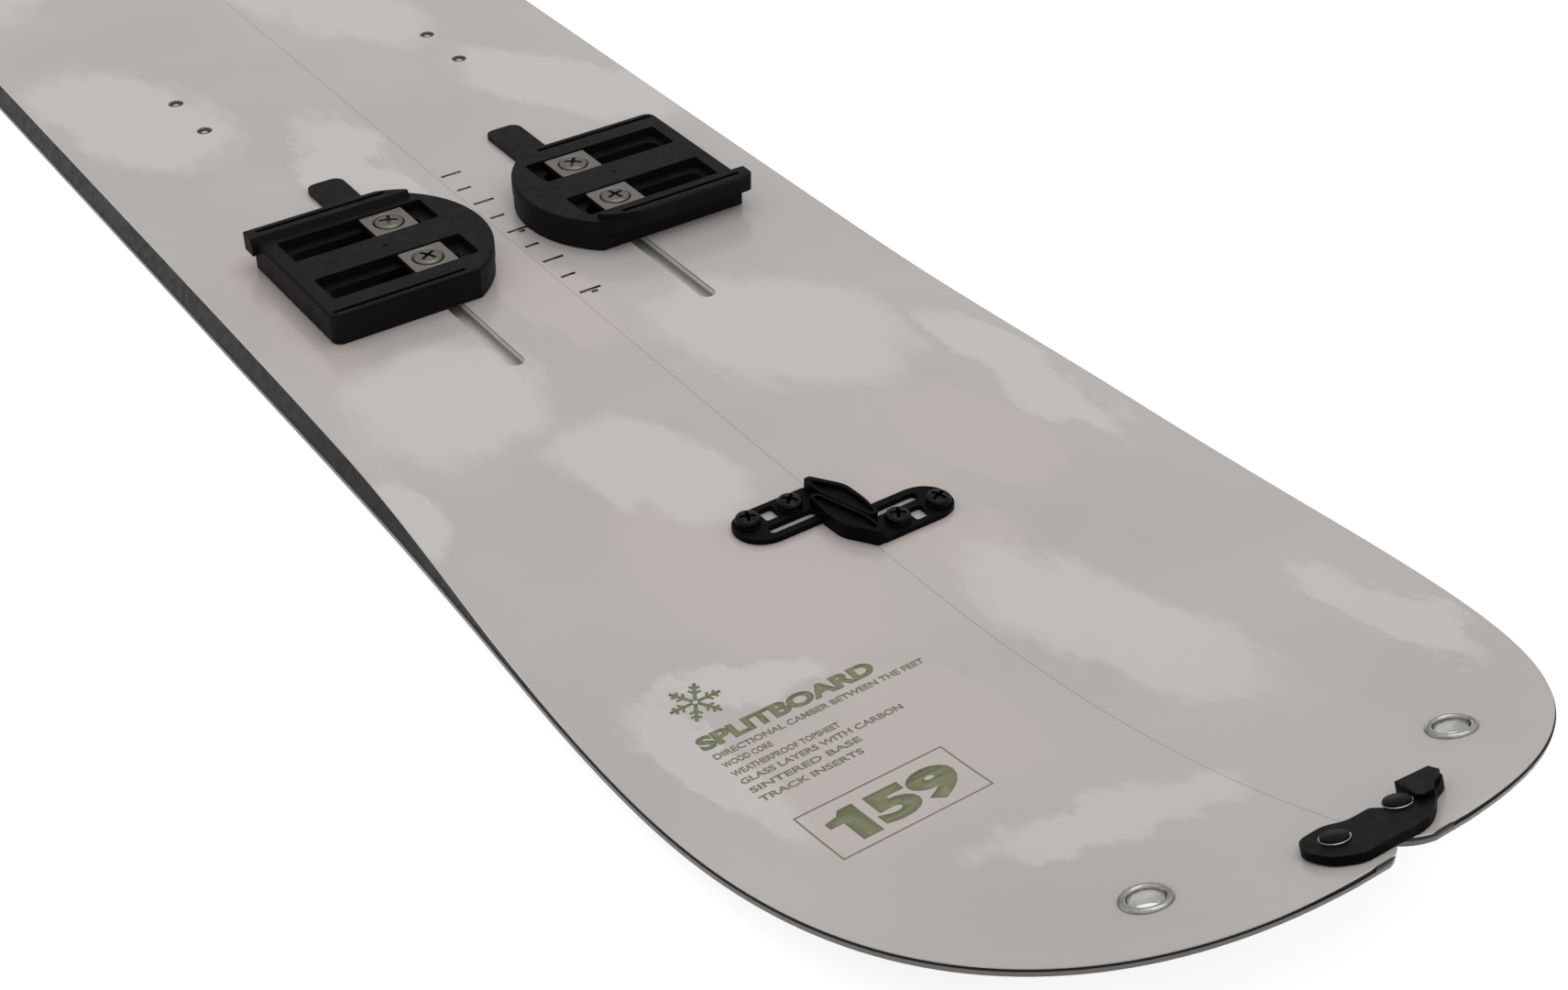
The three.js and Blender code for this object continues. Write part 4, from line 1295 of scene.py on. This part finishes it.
def build_camera():
    azimuth, elevation, roll = (math.radians(a) for a in (CAMERA_AZIMUTH, CAMERA_ELEVATION, CAMERA_ROLL))
    back = Vector((math.sin(azimuth) * math.cos(elevation), -math.cos(azimuth) * math.cos(elevation),
                   math.sin(elevation)))
    level = (-back).cross(Vector((0, 0, 1))).normalized()
    rise = level.cross(-back)
    right = level * math.cos(roll) + rise * math.sin(roll)
    up = rise * math.cos(roll) - level * math.sin(roll)
    data = bpy.data.cameras.new("camera")
    data.sensor_fit = "HORIZONTAL"
    data.sensor_width = 36
    data.lens = CAMERA_LENS
    data.clip_start = 0.01
    data.clip_end = 50
    camera = bpy.data.objects.new("camera", data)
    turn = Matrix((right, up, back)).transposed().to_4x4()
    place = Vector(CAMERA_TARGET) * MM + back * CAMERA_DISTANCE * MM
    camera.matrix_world = Matrix.Translation(place) @ turn
    bpy.context.scene.collection.objects.link(camera)
    bpy.context.scene.camera = camera


def area_light(name, place, aim, size, power):
    data = bpy.data.lights.new(name, "AREA")
    data.shape = "RECTANGLE"
    data.size, data.size_y = size
    data.energy = power
    lamp = bpy.data.objects.new(name, data)
    direction = Vector(aim) - Vector(place)
    lamp.matrix_world = Matrix.Translation(place) @ direction.to_track_quat("-Z", "Y").to_matrix().to_4x4()
    bpy.context.scene.collection.objects.link(lamp)


WORLD_STRENGTH = 0.95
FLOOR_HALF_SIZE = 60000
FLOOR_LEVEL = -0.3
FLOOR_GLOW = 0.8


def build_studio():
    scene = bpy.context.scene
    scene.view_settings.view_transform = "Standard"
    world = bpy.data.worlds.new("studio")
    scene.world = world
    world.use_nodes = True
    sky = world.node_tree
    direction = sky.nodes.new("ShaderNodeTexCoord").outputs["Generated"]
    height = node(sky, "ShaderNodeSeparateXYZ", {"Vector": direction}).outputs["Z"]
    glow = ramp(sky, height, 0.0, 0.75, 0.5, 1.0)
    sky.links.new(mix(sky, glow, (0, 0, 0, 1), (1, 1, 1, 1)), sky.nodes["Background"].inputs["Color"])
    sky.nodes["Background"].inputs["Strength"].default_value = WORLD_STRENGTH
    area_light("overhead", (0.3, 0.5, 2.4), (0.4, 0, 0), (2.4, 1.6), 16)
    floor_paint, tree, shader, place = blank("floor_white", 0.9, specular=0.1)
    tone = mix(tree, noise(tree, place, 2, 2), (0.5, 0.5, 0.5, 1), (0.51, 0.51, 0.51, 1))
    tree.links.new(tone, shader.inputs["Base Color"])
    shader.inputs["Emission Color"].default_value = (1, 1, 1, 1)
    shader.inputs["Emission Strength"].default_value = FLOOR_GLOW
    corners = [(-1, -1), (1, -1), (1, 1), (-1, 1)]
    points = [(x * FLOOR_HALF_SIZE, y * FLOOR_HALF_SIZE, FLOOR_LEVEL) for x, y in corners]
    floor = make_object("floor", points, [(0, 1, 2, 3)], floor_paint)


build_camera()
for half_name, half_side in SIDES:
    build_half(half_name, half_side)
build_feet()
build_inserts()
build_hooks()
build_tips()
build_printing()
build_ticks()
build_studio()
